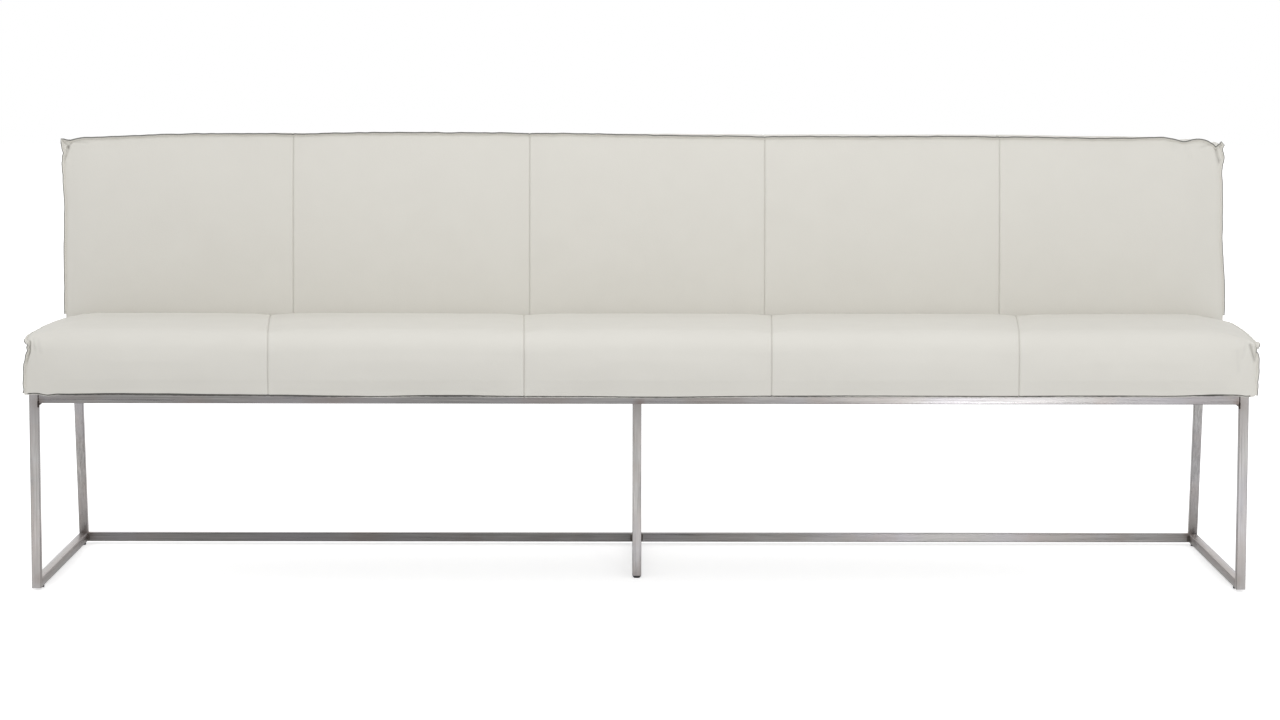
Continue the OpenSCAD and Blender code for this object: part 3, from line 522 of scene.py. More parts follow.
def end_panel(ring, sides):
    """Grid of points that fills a closed ring of four sides, without the ring itself."""
    a, b, c = sides[:3]
    corner = np.cumsum([0, a, b, c])
    front = ring[corner[0]:corner[1] + 1]
    top = ring[corner[1]:corner[2] + 1]
    rear = ring[corner[2]:corner[3] + 1][::-1]
    under = np.vstack([ring[corner[3]:], ring[:1]])[::-1]
    u = np.linspace(0, 1, b + 1)[None, 1:-1, None]
    v = np.linspace(0, 1, a + 1)[1:-1, None, None]
    return ((1 - v) * under[None, 1:-1] + v * top[None, 1:-1] + (1 - u) * front[1:-1, None]
            + u * rear[1:-1, None] - (1 - u) * (1 - v) * front[0] - u * (1 - v) * rear[0]
            - (1 - u) * v * front[-1] - u * v * rear[-1])


def skin_faces(count, sides, opening=None):
    """Faces of a closed cushion skin: its sections, then its two end panels."""
    n = sum(sides)
    faces = []
    for i in range(count - 1):
        for j in range(n):
            if opening and opening[0] <= i < opening[1] and opening[2] <= j < opening[3]:
                continue
            k = (j + 1) % n
            faces.append((i * n + j, (i + 1) * n + j, (i + 1) * n + k, i * n + k))
    a, b, c = sides[:3]
    inner = (a - 1) * (b - 1)
    for end in (0, 1):
        first = count * n + end * inner
        ring = end * (count - 1) * n

        def at(v, u):
            if v == 0:
                return ring + (a + b + c + (b - u)) % n
            if v == a:
                return ring + a + u
            if u == 0:
                return ring + v
            if u == b:
                return ring + a + b + (c - v)
            return first + (v - 1) * (b - 1) + u - 1
        for v in range(a):
            for u in range(b):
                quad = (at(v, u), at(v + 1, u), at(v + 1, u + 1), at(v, u + 1))
                faces.append(quad if end == 0 else quad[::-1])
    return faces


def skin_points(grid, sides):
    """Points of the skin: every section and the insides of the two end panels, slightly padded."""
    a, b = sides[0], sides[1]
    panels = []
    u = np.linspace(0, 1, b + 1)[None, 1:-1]
    v = np.linspace(0, 1, a + 1)[1:-1, None]
    pad = END_PAD * (1 - (2 * u - 1) ** 6) * (1 - (2 * v - 1) ** 4)
    for end, side in ((0, -1), (-1, 1)):
        panel = end_panel(grid[end], sides)
        panel[..., 0] += side * pad
        panels.append(panel.reshape(-1, 3))
    return np.vstack([grid.reshape(-1, 3)] + panels)


def grid_normals(grid):
    """Outward direction at every point of the sections."""
    across = np.gradient(grid, axis=0)
    around = np.roll(grid, -1, axis=1) - np.roll(grid, 1, axis=1)
    return unit(np.cross(across, around))


def sections_of(section, places, counts, wall=0.0):
    """Sections of a cushion at many places, and how many points each of its four sides has."""
    return np.array([section(x, wall, counts)[0] for x in places]), section(0.0, wall, counts)[1]


def held_weights(grid, sides, places, seams, edges):
    """How firmly each point of the loose skin is held: wholly below, at its ends and edges, less at its seams."""
    covered = sum(sides[:3])
    weights = np.zeros(grid.shape[:2])
    weights[:, covered:] = 1.0
    for edge in edges(sides):
        weights[:, edge] = 1.0
    weights[[0, -1]] = 1.0
    for seam in seams:
        row = int(np.argmin(np.abs(places - seam)))
        weights[row, :covered] = np.maximum(weights[row, :covered], SEAM_HOLD)
    return weights


def seat_edges(sides):
    """Where the seat is held besides: its lower front edge and the side that stands against the backrest."""
    to_rear = sides[0] + sides[1]
    return slice(0, 1), slice(to_rear + 2, to_rear + sides[2])


def back_edges(sides):
    """Where the backrest is held besides: the part behind the seat and its upper front edge."""
    return slice(0, 7), slice(sides[0], sides[0] + 1)


def swell(name, section, places, counts, seams, edges):
    """Pressed-out form of a cushion: the loose skin is blown up a little and the movement read off."""
    grid, sides = sections_of(section, places, counts)
    points = skin_points(grid, sides)
    skin = put_in_scene(name, points, skin_faces(len(places), sides))
    group = skin.vertex_groups.new(name="held")
    weights = held_weights(grid, sides, places, seams, edges).ravel()
    for level in (1.0, SEAM_HOLD):
        group.add([int(i) for i in np.nonzero(np.isclose(weights, level))[0]], level, "REPLACE")
    cloth = skin.modifiers.new("swell", "CLOTH")
    for setting, value in CLOTH.items():
        setattr(cloth.settings, setting, value)
    cloth.settings.effector_weights.gravity = 0
    cloth.point_cache.frame_start = 1
    cloth.point_cache.frame_end = SWELL_STEPS
    for step in range(1, SWELL_STEPS + 1):
        bpy.context.scene.frame_set(step)
    shaped = skin.evaluated_get(bpy.context.evaluated_depsgraph_get())
    after = np.zeros(len(points) * 3)
    shaped.data.vertices.foreach_get("co", after)
    moved = after.reshape(-1, 3) / MM - points
    size = np.linalg.norm(moved, axis=1, keepdims=True)
    moved *= np.minimum(1, SWELL_LIMIT / np.maximum(size, 1e-6))
    bpy.context.scene.frame_set(1)
    throw_away(skin)
    return moved[:grid.shape[0] * grid.shape[1]].reshape(grid.shape)


def round_shares(section, counts):
    """Place of each point round the outline, from 0 to 4, one for each side."""
    outline, sides = section(0.0, 0.0, counts)
    shares, start = [], 0
    for index, n in enumerate(sides):
        points = np.vstack([outline[start:start + n], outline[(start + n) % len(outline)][None]])
        reach = np.concatenate([[0], np.cumsum(np.linalg.norm(np.diff(points, axis=0), axis=1))])
        shares += list(index + reach[:-1] / reach[-1])
        start += n
    return np.array(shares)


def carry_over(moved, section, places, loose, fine_places, fine):
    """The swelling of the loose skin, read at the points of the fine one."""
    at = round_shares(section, loose)
    to = round_shares(section, fine)
    closed = np.concatenate([moved, moved[:, :1]], axis=1)
    around = ease(np.swapaxes(closed, 0, 1), np.append(at, 4.0), to)
    return ease(np.swapaxes(around, 0, 1), places, fine_places)


def outwards_only(grid, moved):
    """The swelling with most of what would sink into the cushion taken off."""
    normal = grid_normals(grid)
    push = np.sum(moved * normal, axis=2, keepdims=True)
    return moved - SINK_TAKEN_OFF * normal * np.minimum(push, 0)


def sewn_line(places, seams):
    """Depth of the fine sewn lines and the ridges of the turned-in leather beside them."""
    depth = np.zeros_like(places)
    for seam in seams:
        off = places - seam
        depth -= SEWN_DEPTH * np.exp(-((off / SEWN_HALF) ** 2))
        depth += SEWN_RIDGE * np.exp(-(((np.abs(off) - SEWN_RIDGE_AT) / 1.8) ** 2))
    return depth


def fold_depth(points, folds):
    """Depth of the pressed-in folds at points of the front, with the leather raised beside them."""
    depth = np.zeros(points.shape[:-1])
    for (x0, z0), (x1, z1), deep, half in folds:
        length = math.hypot(x1 - x0, z1 - z0)
        run = ((points[..., 0] - x0) * (x1 - x0) + (points[..., 2] - z0) * (z1 - z0)) / length**2
        off = ((points[..., 0] - x0) * (z1 - z0) - (points[..., 2] - z0) * (x1 - x0)) / length
        taper = np.exp(-((np.maximum(0, run - 1) + np.maximum(0, -run)) * length / 4.0) ** 2)
        off = np.abs(off) / half
        depth += deep * taper * (-np.exp(-off**2) + 0.3 * np.exp(-((off - 2.0) / 0.9) ** 2))
    return depth


def cushion_grid(name, section, counts, half, seams, opening, edges, top_share=1.0):
    """The sections of a cushion's leather, with the swelling of its loose skin carried over to them."""
    fine, loose = counts["fine"], counts["loose"]
    places = stations(half, seams, opening[0], FINE_STEP, True)
    grid, sides = sections_of(section, places, fine)
    rough = stations(half, seams, opening[0], LOOSE_STEP, False)
    moved = swell(name, section, rough, loose, seams, edges)
    moved = outwards_only(grid, carry_over(moved, section, rough, loose, places, fine))
    moved[:, sides[0]:sides[0] + sides[1]] *= top_share
    grid = grid + moved
    return grid, sides, places


def dress(grid, sides, places, seams, half, seed, folds):
    """Sewn lines and the slow unevenness of filled leather, square to the surface."""
    a, b, c = sides[:3]
    normal = grid_normals(grid)
    index = np.arange(grid.shape[1])
    on_cover = index < a + b + c
    covered = np.where(on_cover, 1.0, 0.25)
    ends = np.array([1 - into_end(x, half) for x in places])
    line = sewn_line(places, seams)[:, None] * covered[None, :]
    reach = np.concatenate([[0], np.cumsum(np.linalg.norm(np.diff(grid[len(grid) // 2], axis=0), axis=1))])
    uneven = (slow_waves(places, 310, seed)[:, None] * slow_waves(reach, 260, seed + 1)[None, :]
              + 0.6 * slow_waves(places, 120, seed + 2)[:, None] * slow_waves(reach, 140, seed + 3)[None, :])
    uneven *= 0.5 * ends[:, None] * on_cover[None, :]
    facing = np.clip(-normal[..., 1] * 1.6, 0, 1) * (index < a + b)[None, :]
    pressed = fold_depth(grid, folds) * facing
    return grid + normal * (line + uneven + pressed)[..., None]


def mark_sewn_shade(piece, grid, sides, places, seams, folds):
    """Attribute along the sewn lines and in the folds, where painted shade darkens the leather."""
    near = np.min(np.abs(places[:, None] - seams[None, :]), axis=1)
    weight = np.exp(-((near / 1.25) ** 2))[:, None] * (np.arange(grid.shape[1]) < sum(sides[:3]))[None, :]
    creased = np.clip(-fold_depth(grid, folds) / 4.0, 0, 1) * (np.arange(grid.shape[1]) < sides[0])[None, :]
    weight = np.maximum(weight, 1.5 * creased)
    values = np.zeros(len(piece.data.vertices))
    values[:weight.size] = weight.ravel()
    mark = piece.data.attributes.new("sewn", "FLOAT", "POINT")
    mark.data.foreach_set("value", values)


def leather_shell(name, grid, sides, places, opening, counts, seams, folds):
    """Leather with its thickness, open below inside its hem."""
    low = int(np.argmin(np.abs(places + opening[0])))
    high = int(np.argmin(np.abs(places - opening[0])))
    hem_end = sum(sides[:3]) + counts["fine"][-3]
    faces = skin_faces(len(places), sides, (low, high, hem_end, hem_end + counts["fine"][-2]))
    piece = put_in_scene(name, skin_points(grid, sides), faces)
    mark_sewn_shade(piece, grid, sides, places, seams, folds)
    wall = piece.modifiers.new("leather", "SOLIDIFY")
    wall.thickness = LEATHER_T * MM
    wall.offset = -1
    apply_all(piece)
    piece.data.polygons.foreach_set("use_smooth", [True] * len(piece.data.polygons))
    return piece


seat_shape, seat_sides, seat_places = cushion_grid(
    "loose_seat", seat_section, SEAT_COUNTS, SEAT_HALF, SEAT_SEAMS, SEAT_OPENING, seat_edges)
seat_shape = dress(seat_shape, seat_sides, seat_places, SEAT_SEAMS, SEAT_HALF, 11, SEAT_FOLDS)
back_shape, back_sides, back_places = cushion_grid(
    "loose_back", back_section, BACK_COUNTS, BACK_HALF, BACK_SEAMS, BACK_OPENING, back_edges, BACK_TOP_SWELL)
back_shape = dress(back_shape, back_sides, back_places, BACK_SEAMS, BACK_HALF, 31, BACK_FOLDS)
seat_leather = leather_shell("seat_leather", seat_shape, seat_sides, seat_places, SEAT_OPENING, SEAT_COUNTS,
                             SEAT_SEAMS, SEAT_FOLDS)
back_leather = leather_shell("back_leather", back_shape, back_sides, back_places, BACK_OPENING, BACK_COUNTS,
                             BACK_SEAMS, BACK_FOLDS)


# Raised seams, and the strip of painted shadow under the hem

def raised_seam(name, roots, outs, acrosses, heights):
    """Two layers of leather that stand up from a sewn edge, with their cut edges side by side."""
    section = [(-1.5, -2.5), (-1.5, 0.4), (-1.48, 0.93), (-1.36, 1.0), (-0.35, 0.99), (-0.12, 0.84),
               (0.12, 0.84), (0.35, 0.98), (1.36, 1.0), (1.48, 0.93), (1.5, 0.4), (1.5, -2.5)]
    n = len(section)
    points = [root + across * side + out * (rise * height if rise > 0 else rise)
              for root, out, across, height in zip(roots, outs, acrosses, heights) for side, rise in section]
    piece = put_in_scene(name, points, tube_faces(len(roots), n))
    cut = {2, 3, 4, 5, 6, 7, 8}
    for index, face in enumerate(piece.data.polygons[:(len(roots) - 1) * n]):
        if index % n in cut:
            face.material_index = 1
    face_outwards(piece)
    soften(piece, 50)
    return piece


def even_steps(points, step, *more):
    """The same path with stops at even steps."""
    reach = np.concatenate([[0], np.cumsum(np.linalg.norm(np.diff(points, axis=0), axis=1))])
    stops = np.linspace(0, reach[-1], int(reach[-1] / step) + 1)
    return [np.stack([np.interp(stops, reach, way[:, k]) for k in range(3)], axis=1)
            for way in (points,) + more] + [stops]


def square_to(path, out):
    """The direction out turned square to a path, and the direction across both."""
    way = unit(np.gradient(path, axis=0))
    out = unit(out - way * np.sum(out * way, axis=1, keepdims=True))
    return out, np.cross(way, out)


def seat_seam_path(side):
    """Root, direction and height of the raised seam round one end of the seat, with its ear at the corner."""
    ring = seat_shape[0] if side < 0 else seat_shape[-1]
    first, last = 5, sum(seat_sides[:2])
    path = ring[first:last + 1]
    way = np.gradient(path, axis=0)
    out = unit(np.stack([np.zeros(len(path)), -way[:, 2], way[:, 1]], axis=1))
    on_top = np.clip((path[:, 1] - SEAT_FRONT_Y - 10) / 40, 0, 1)[:, None]
    out = unit(out * (1 - 0.85 * on_top) + np.array([side, 0, 0]) * (1.0 + 0.2 * on_top))
    path, out, stops = even_steps(path, 2.5, out)
    corner = float(stops[np.argmax(path[:, 2] - path[:, 1])])
    ear = np.exp(-(((stops - corner) / 6) ** 2))
    out, across = square_to(path, unit(out + np.array([0.9 * side, 0, 0.15]) * ear[:, None]))
    height = (SEAM_STAND + 0.4 * slow_waves(stops, 60, 5 + side) + EAR_REACH[side] * ear
              - EAR_NOTCH[side] * np.exp(-(((stops - corner + 14) / 7) ** 2)))
    wave = 0.5 * slow_waves(stops, 38, 9 + side)
    return path + across * wave[:, None], out, across, height


def back_seam_path():
    """Root, direction and height of the raised seam up both sides and along the top of the backrest's front."""
    a = back_sides[0]
    left, right = back_shape[0], back_shape[-1]
    start = int(np.argmin(np.abs(left[:a, 2] - SEAT_H + 8)))
    top = back_shape[:, a]
    ways = ((left[start:a], (-1.0, -1.0, 0.0)), (top, (0.0, -1.0, 0.85)), (right[start:a][::-1], (1.0, -1.0, 0.0)))
    path = np.vstack([way for way, out in ways])
    out = np.vstack([np.tile(unit(np.array(out)), (len(way), 1)) for way, out in ways])
    path, out, stops = even_steps(path, 3.0, out)
    soft = np.ones(5) / 5
    padded = np.pad(out, ((2, 2), (0, 0)), mode="edge")
    out = np.stack([np.convolve(padded[:, k], soft, mode="valid") for k in range(3)], axis=1)
    height = SEAM_STAND + 0.5 * slow_waves(stops, 90, 41)
    for side, corner in ((-1, top[0]), (1, top[-1])):
        ear = np.exp(-(np.linalg.norm(path - corner, axis=1) / 5) ** 2)
        out = unit(out + np.array([0.7 * side, 0.3, 0.7]) * ear[:, None])
        height += BACK_EAR_REACH[side] * ear
    out, across = square_to(path, out)
    wave = 0.5 * slow_waves(stops, 70, 43)
    return path + across * wave[:, None], out, across, height


def hem_shadow_strip():
    """A dark uneven strip along the lower edge of the front panel: painted shadow of the gap under the seat, shaped
    like a cut edge.
    """
    path = seat_shape[:, HEM_POINT]
    path, stops = even_steps(path[np.abs(path[:, 0]) < 1186], 3.0)
    reach = np.maximum(0.1, read_table(HEM_REACH, path[:, 0]) + 0.3 * slow_waves(stops, 24, 61))
    sway = 0.35 * slow_waves(stops, 45, 63)
    section = ((-0.9, 1.5), (-0.9, -0.8), (-0.5, -1.0), (0.5, -1.0), (0.9, -0.8), (0.9, 1.5))
    points = [place + np.array([0, across + shift, rise * (down if rise < 0 else 1)])
              for place, down, shift in zip(path, reach, sway) for across, rise in section]
    return closed_and_soft("seat_front_hem_shadow", points, tube_faces(len(path), len(section)))


seat_seam_left = raised_seam("seat_end_seam_left", *seat_seam_path(-1))
seat_seam_right = raised_seam("seat_end_seam_right", *seat_seam_path(1))
back_seam = raised_seam("back_front_seam", *back_seam_path())
seat_hem = hem_shadow_strip()


# Inside the cushions

def box_tool(name, low, high):
    drop_selection()
    bpy.ops.mesh.primitive_cube_add(size=1)
    tool = bpy.context.object
    tool.name = name
    low, high = Vector(low) * MM, Vector(high) * MM
    tool.dimensions = high - low
    tool.location = (low + high) / 2
    settle(tool)
    return tool


def foam_pad(name, section, places, counts, tool):
    """Foam block cut to the cushion's form, with the place of the wooden frame cut out of it."""
    grid, sides = sections_of(section, places, counts, FOAM_IN)
    pad = put_in_scene(name, skin_points(grid, sides), skin_faces(len(places), sides))
    face_outwards(pad)
    cut = pad.modifiers.new("frame_place", "BOOLEAN")
    cut.operation = "DIFFERENCE"
    cut.object = tool
    apply_all(pad)
    throw_away(tool)
    soften(pad, 40)
    return pad


def rib_front(z):
    """Where the front of the backrest's ribs lies at a height."""
    return float(back_face(z)) + COVER_T + RIB_FOAM


def back_frame_tool():
    """Room of the backrest's wooden frame and webbing inside the foam."""
    high, low = RIB_TOP + BOARD_T + FIT, KINK_Z + FIT
    past, reach = PAST_FOAM, BACK_WOOD_X + FIT
    outline = [(BACK_FRONT_Y - past, FRAME_H - past), (BACK_FRONT_Y - past, low),
               (rib_front(low) - STRAP_T - FIT, low), (rib_front(high) - STRAP_T - FIT, high),
               (float(back_rear(high)) + past, high), (BACK_REAR_Y + past, FRAME_H - past)]
    points = [(s * reach, y, z) for s in (-1, 1) for y, z in outline]
    n = len(outline)
    faces = [tuple(range(n)), tuple(range(n, 2 * n))[::-1]]
    faces += [(i, i + n, (i + 1) % n + n, (i + 1) % n) for i in range(n)]
    tool = put_in_scene("back_frame_tool", points, faces, smooth=False)
    face_outwards(tool)
    return tool


rough_seat = stations(SEAT_HALF, SEAT_SEAMS, SEAT_OPENING[0], FOAM_STEP, False)
rough_back = stations(BACK_HALF, BACK_SEAMS, BACK_OPENING[0], FOAM_STEP, False)
seat_tool = box_tool("seat_frame_tool", (-SEAT_WOOD_X - FIT, SEAT_WOOD_FRONT - FIT, FRAME_H - PAST_FOAM),
                     (SEAT_WOOD_X + FIT, SEAT_REAR_Y + PAST_FOAM, KINK_Z + STRAP_T + FIT))
seat_pad = foam_pad("seat_foam_pad", seat_section, rough_seat, SEAT_COUNTS["loose"], seat_tool)
back_pad = foam_pad("back_foam_pad", back_section, rough_back, BACK_COUNTS["loose"], back_frame_tool())


def dust_cover(name, opening, seed):
    """Thin cloth stapled under a wooden frame, hanging a little between its edges."""
    x, y_low, y_high = opening[0] - FIT, opening[1] + FIT, opening[2] - FIT
    across, deep = 120, 24
    xs = np.linspace(-x, x, across + 1)
    ys = np.linspace(y_low, y_high, deep + 1)
    u = np.clip(np.minimum(xs + x, x - xs) / 60.0, 0, 1)[:, None]
    v = np.clip(np.minimum(ys - y_low, y_high - ys) / 40.0, 0, 1)[None, :]
    sag = 0.9 * u * v * (1 + 0.5 * slow_waves(xs, 170, seed)[:, None])
    sag = sag + 0.12 * slow_waves(xs, 46, seed + 1)[:, None]
    z = WOOD_Z - 0.75 - sag
    points = np.stack(np.broadcast_arrays(xs[:, None], ys[None, :], z), axis=2).reshape(-1, 3)
    n = deep + 1
    faces = [(i * n + j, i * n + j + 1, (i + 1) * n + j + 1, (i + 1) * n + j)
             for i in range(across) for j in range(deep)]
    cloth = put_in_scene(name, points, faces)
    wall = cloth.modifiers.new("cloth", "SOLIDIFY")
    wall.thickness = CLOTH_T * MM
    wall.offset = 1
    apply_all(cloth)
    face_outwards(cloth)
    soften(cloth, 50)
    return cloth


seat_dust = dust_cover("seat_underside_cloth", SEAT_OPENING, 61)
back_dust = dust_cover("back_underside_cloth", BACK_OPENING, 71)


# Stitches, staples, straps and welds

def repeat_piece(name, model, places, turns, shading=40):
    """Copies of a modelled piece at many places, as one mesh, each turned by its own three directions."""
    settle(model)
    count = len(model.data.vertices)
    flat = np.zeros(count * 3)
    model.data.vertices.foreach_get("co", flat)
    shape = flat.reshape(-1, 3) / MM
    polygons = [tuple(face.vertices) for face in model.data.polygons]
    points, faces = [], []
    for place, turn in zip(places, turns):
        faces += [tuple(v + len(points) * count for v in polygon) for polygon in polygons]
        points.append(place + shape @ turn)
    throw_away(model)
    piece = put_in_scene(name, np.vstack(points), faces, smooth=False)
    soften(piece, shading)
    return piece


def edit_ends(piece):
    """Start to edit a piece with its two ends across X selected."""
    bpy.ops.object.mode_set(mode="EDIT")
    mesh = bmesh.from_edit_mesh(piece.data)
    for face in mesh.faces:
        face.select_set(abs(face.normal.x) > 0.9)
    bmesh.update_edit_mesh(piece.data)


def small_rod(sides, radius, length, inset, rise):
    """Short rod along X with rounded ends: a stitch, or one ripple of a weld."""
    drop_selection()
    bpy.ops.mesh.primitive_cylinder_add(vertices=sides, radius=radius * MM, depth=length * MM,
                                        rotation=(0, math.pi / 2, 0))
    rod = bpy.context.object
    settle(rod)
    edit_ends(rod)
    bpy.ops.mesh.inset(thickness=inset * MM, depth=rise * MM)
    bpy.ops.object.mode_set(mode="OBJECT")
    return rod


def stitches_along(name, path, out, across, height, seed):
    """Stitches on both faces of a raised seam, a little above the sewn edge."""
    path, out, across, height, stops = even_steps(path, STITCH_STEP, out, across,
                                                  np.repeat(height[:, None], 3, axis=1))
    source = np.random.default_rng(seed)
    way = unit(np.gradient(path, axis=0))
    places, turns = [], []
    for i in range(1, len(path) - 1):
        side_way = unit(across[i] - way[i] * (across[i] @ way[i]))
        for side in (-1, 1):
            places.append(path[i] + out[i] * STITCH_RISE * height[i, 0] + side_way * side * STITCH_OUT)
            lean = unit(way[i] + out[i] * source.uniform(-0.06, 0.06))
            up = unit(np.cross(lean, side_way * side))
            turns.append(np.array([lean, up, np.cross(lean, up)]))
    model = small_rod(6, STITCH_R, STITCH_LENGTH, STITCH_R * 0.5, STITCH_R * 0.4)
    return repeat_piece(name, model, places, turns)


seat_stitches = [stitches_along("seat_stitches_" + name, *seat_seam_path(side), 81 + side)
                 for side, name in ((-1, "left"), (1, "right"))]
back_stitches = stitches_along("back_stitches", *back_seam_path(), 91)


def staple_model():
    """Crown of a wire staple with its two shoulders bent down, along X."""
    drop_selection()
    bpy.ops.mesh.primitive_cube_add(size=1)
    staple = bpy.context.object
    staple.dimensions = Vector(STAPLE) * MM
    settle(staple)
    edit_ends(staple)
    bpy.ops.mesh.extrude_region_move()
    bpy.ops.transform.translate(value=(0, 0, STAPLE_LEG * MM))
    bpy.ops.transform.resize(value=(1.1, 1, 1), center_override=(0, 0, 0))
    bpy.ops.object.mode_set(mode="OBJECT")
    edge = staple.modifiers.new("edge", "BEVEL")
    edge.width = 0.2 * MM
    edge.segments = 1
    apply_all(staple)
    return staple


def hem_staples(name, opening, seed):
    """Staples through the cloth and the hems, all round the opening under a cushion."""
    x, y_low, y_high = opening
    source = np.random.default_rng(seed)
    places, turns = [], []
    wide, deep = (-x + STAPLE_CORNER, x - STAPLE_CORNER), (y_low + STAPLE_CORNER, y_high - STAPLE_CORNER)
    for fixed, (start, stop), long_side in ((y_low, wide, True), (y_high, wide, True),
                                            (-x, deep, False), (x, deep, False)):
        inward = 1 if fixed in (y_low, -x) else -1
        for stop_at in np.linspace(start, stop, max(2, int((stop - start) / STAPLE_STEP))):
            along_at = stop_at + source.uniform(-3, 3)
            inner = fixed + inward * (STAPLE_IN + source.uniform(-0.8, 0.8))
            angle = source.uniform(-0.12, 0.12) + (0 if long_side else math.pi / 2)
            places.append(np.array((along_at, inner, STAPLE_Z) if long_side else (inner, along_at, STAPLE_Z)))
            turns.append(np.array([(math.cos(angle), math.sin(angle), 0), (-math.sin(angle), math.cos(angle), 0),
                                   (0, 0, 1)]))
    return repeat_piece(name, staple_model(), places, turns)


seat_staples = hem_staples("seat_staples", SEAT_OPENING, 101)
back_staples = hem_staples("back_staples", BACK_OPENING, 103)


def strap(name, start, stop, width_way, normal, sag, cells, seed):
    """Flat elastic strap between two places, with a slight sag and soft edges."""
    start, stop, width_way, normal = (np.array(v, dtype=float) for v in (start, stop, width_way, normal))
    n = 9
    total = (cells + 1) * n
    u = np.linspace(0, 1, cells + 1)
    v = np.linspace(-0.5, 0.5, n)
    dip = sag * np.sin(math.pi * u) ** 2 + 0.15 * slow_waves(u * 300, 90, seed) * np.sin(math.pi * u)
    edge = 0.35 * np.clip((np.abs(v) - 0.44) / 0.06, 0, 1) ** 2
    points, faces = [], []
    for side, thick in ((0, 0.0), (1, STRAP_T)):
        for i in range(cells + 1):
            for j in range(n):
                lift = thick + (edge[j] if side == 0 else -edge[j])
                points.append(start + (stop - start) * u[i] + width_way * v[j] + normal * (lift - dip[i]))
    for i in range(cells):
        for j in range(n - 1):
            a, b, c, d = i * n + j, i * n + j + 1, (i + 1) * n + j + 1, (i + 1) * n + j
            faces += [(a, d, c, b), (a + total, b + total, c + total, d + total)]
        for j in (0, n - 1):
            a, d = i * n + j, (i + 1) * n + j
            faces.append((a, a + total, d + total, d))
    for i in (0, cells):
        for j in range(n - 1):
            a, b = i * n + j, i * n + j + 1
            faces.append((a, b, b + total, a + total))
    return closed_and_soft(name, points, faces)


def seat_straps():
    count = int(2 * SEAT_WOOD_X // STRAP_PITCH)
    xs = [(i - (count - 1) / 2) * STRAP_PITCH for i in range(count)]
    return join("seat_straps", [
        strap("seat_strap", (x, SEAT_WOOD_FRONT, KINK_Z), (x, SEAT_WOOD_REAR, KINK_Z), (STRAP_W, 0, 0), (0, 0, 1),
              STRAP_SAG, 28, 110 + i) for i, x in enumerate(xs)])


def back_straps():
    made = []
    for number, share in enumerate((0.12, 0.37, 0.62, 0.87)):
        middle = KINK_Z + (RIB_TOP - KINK_Z) * share
        low, high = middle - STRAP_W / 2, middle + STRAP_W / 2
        lean = np.array([0, float(back_face(high) - back_face(low)), STRAP_W])
        y = rib_front(middle)
        made.append(strap("back_strap", (-BACK_WOOD_X, y, middle), (BACK_WOOD_X, y, middle), lean, (0, -1.0, 0),
                          0.0, 120, 130 + number))
    return join("back_straps", made)


seat_webs = seat_straps()
back_webs = back_straps()


def ripple_model(radius):
    """One ripple of a weld: a thin, rounded disc across X."""
    return small_rod(12, radius, radius * 0.62, radius * 0.22, radius * 0.14)


def weld_places():
    """Inner corners of the frame with the two directions that each weld fills."""
    rail_z = FRAME_H - TUBE
    mid_top, mid_low = FRAME_H - TUBE / 2, RUNNER_TOP - TUBE / 2
    right, rear, up = np.array([1.0, 0, 0]), np.array([0, 1.0, 0]), np.array([0, 0, 1.0])
    found = []
    for side in (-1, 1):
        inner = side * (LEG_X - TUBE / 2)
        found += [((inner, FRONT_Y + TUBE / 2, rail_z), -side * right, -up),
                  ((side * LEG_X, FRONT_Y + TUBE, rail_z), rear, -up),
                  ((side * LEG_X, FRONT_Y + TUBE, RUNNER_TOP), rear, up),
                  ((inner, TOP_Y - TUBE, mid_top), -side * right, -rear),
                  ((inner, FOOT_Y - TUBE, mid_low), -side * right, -rear),
                  ((MIDDLE_X + side * TUBE / 2, FOOT_Y - TUBE, mid_low), side * right, -rear),
                  ((MIDDLE_X + side * TUBE / 2, FRONT_Y + TUBE, mid_top), side * right, rear),
                  ((MIDDLE_X + side * TUBE / 2, TOP_Y - TUBE, mid_top), side * right, -rear)]
    found += [((MIDDLE_X, MIDDLE_Y + TUBE, rail_z), rear, -up), ((MIDDLE_X, MIDDLE_Y, rail_z), -rear, -up),
              ((MIDDLE_X, MIDDLE_Y + TUBE, RUNNER_TOP), rear, up)]
    return found


def weld_ripples():
    """Rows of overlapping ripples in the frame's inner corners."""
    source = np.random.default_rng(7)
    places, turns = [], []
    for corner, a, b in weld_places():
        way = np.cross(a, b)
        for step in np.linspace(-6.2, 6.2, 9):
            rise = 1.15 + source.uniform(-0.12, 0.12)
            places.append(np.array(corner) + (a + b) * rise + way * (step + source.uniform(-0.12, 0.12)))
            lean = unit(way + (a + b) * 0.3)
            side_way = unit(a - b)
            turns.append(np.array([lean, side_way, np.cross(lean, side_way)]))
    return repeat_piece("weld_ripples", ripple_model(CORNER_WELD_R), places, turns, 50)


def joint_ripples():
    """Narrow welds in the grooves where the front rail meets the front legs."""
    source = np.random.default_rng(8)
    lean = unit(np.array([0, -0.25, 1.0]))
    places, turns = [], []
    for side in (-1, 1):
        for z in np.arange(FRAME_H - TUBE - 7.0, FRAME_H - 1.0, JOINT_STEP):
            places.append(np.array((side * (LEG_X - TUBE / 2), FRONT_Y + 0.75, z)) + source.uniform(-0.1, 0.1, 3))
            turns.append(np.array([lean, (side, 0, 0), np.cross(lean, (side, 0, 0))]))
    low = [k for k, place in enumerate(places) if place[2] < FRAME_H - TUBE + 4]
    narrow = repeat_piece("front_joint_welds", ripple_model(JOINT_WELD_R), places, turns, 50)
    wide = repeat_piece("front_joint_ends", ripple_model(JOINT_END_R), [places[k] for k in low],
                        [turns[k] for k in low], 50)
    return join("front_joint_welds", [narrow, wide])


welds = weld_ripples()
joint_welds = joint_ripples()


# Materials

# Colour beside the welds: how far the heat tint and the painted shade near the joints reach, in metres, and how much
# of a tint shows
HEAT_REACH = 0.02
JOINT_SHADE_REACH = 0.1
TINT_SHARE = 0.6
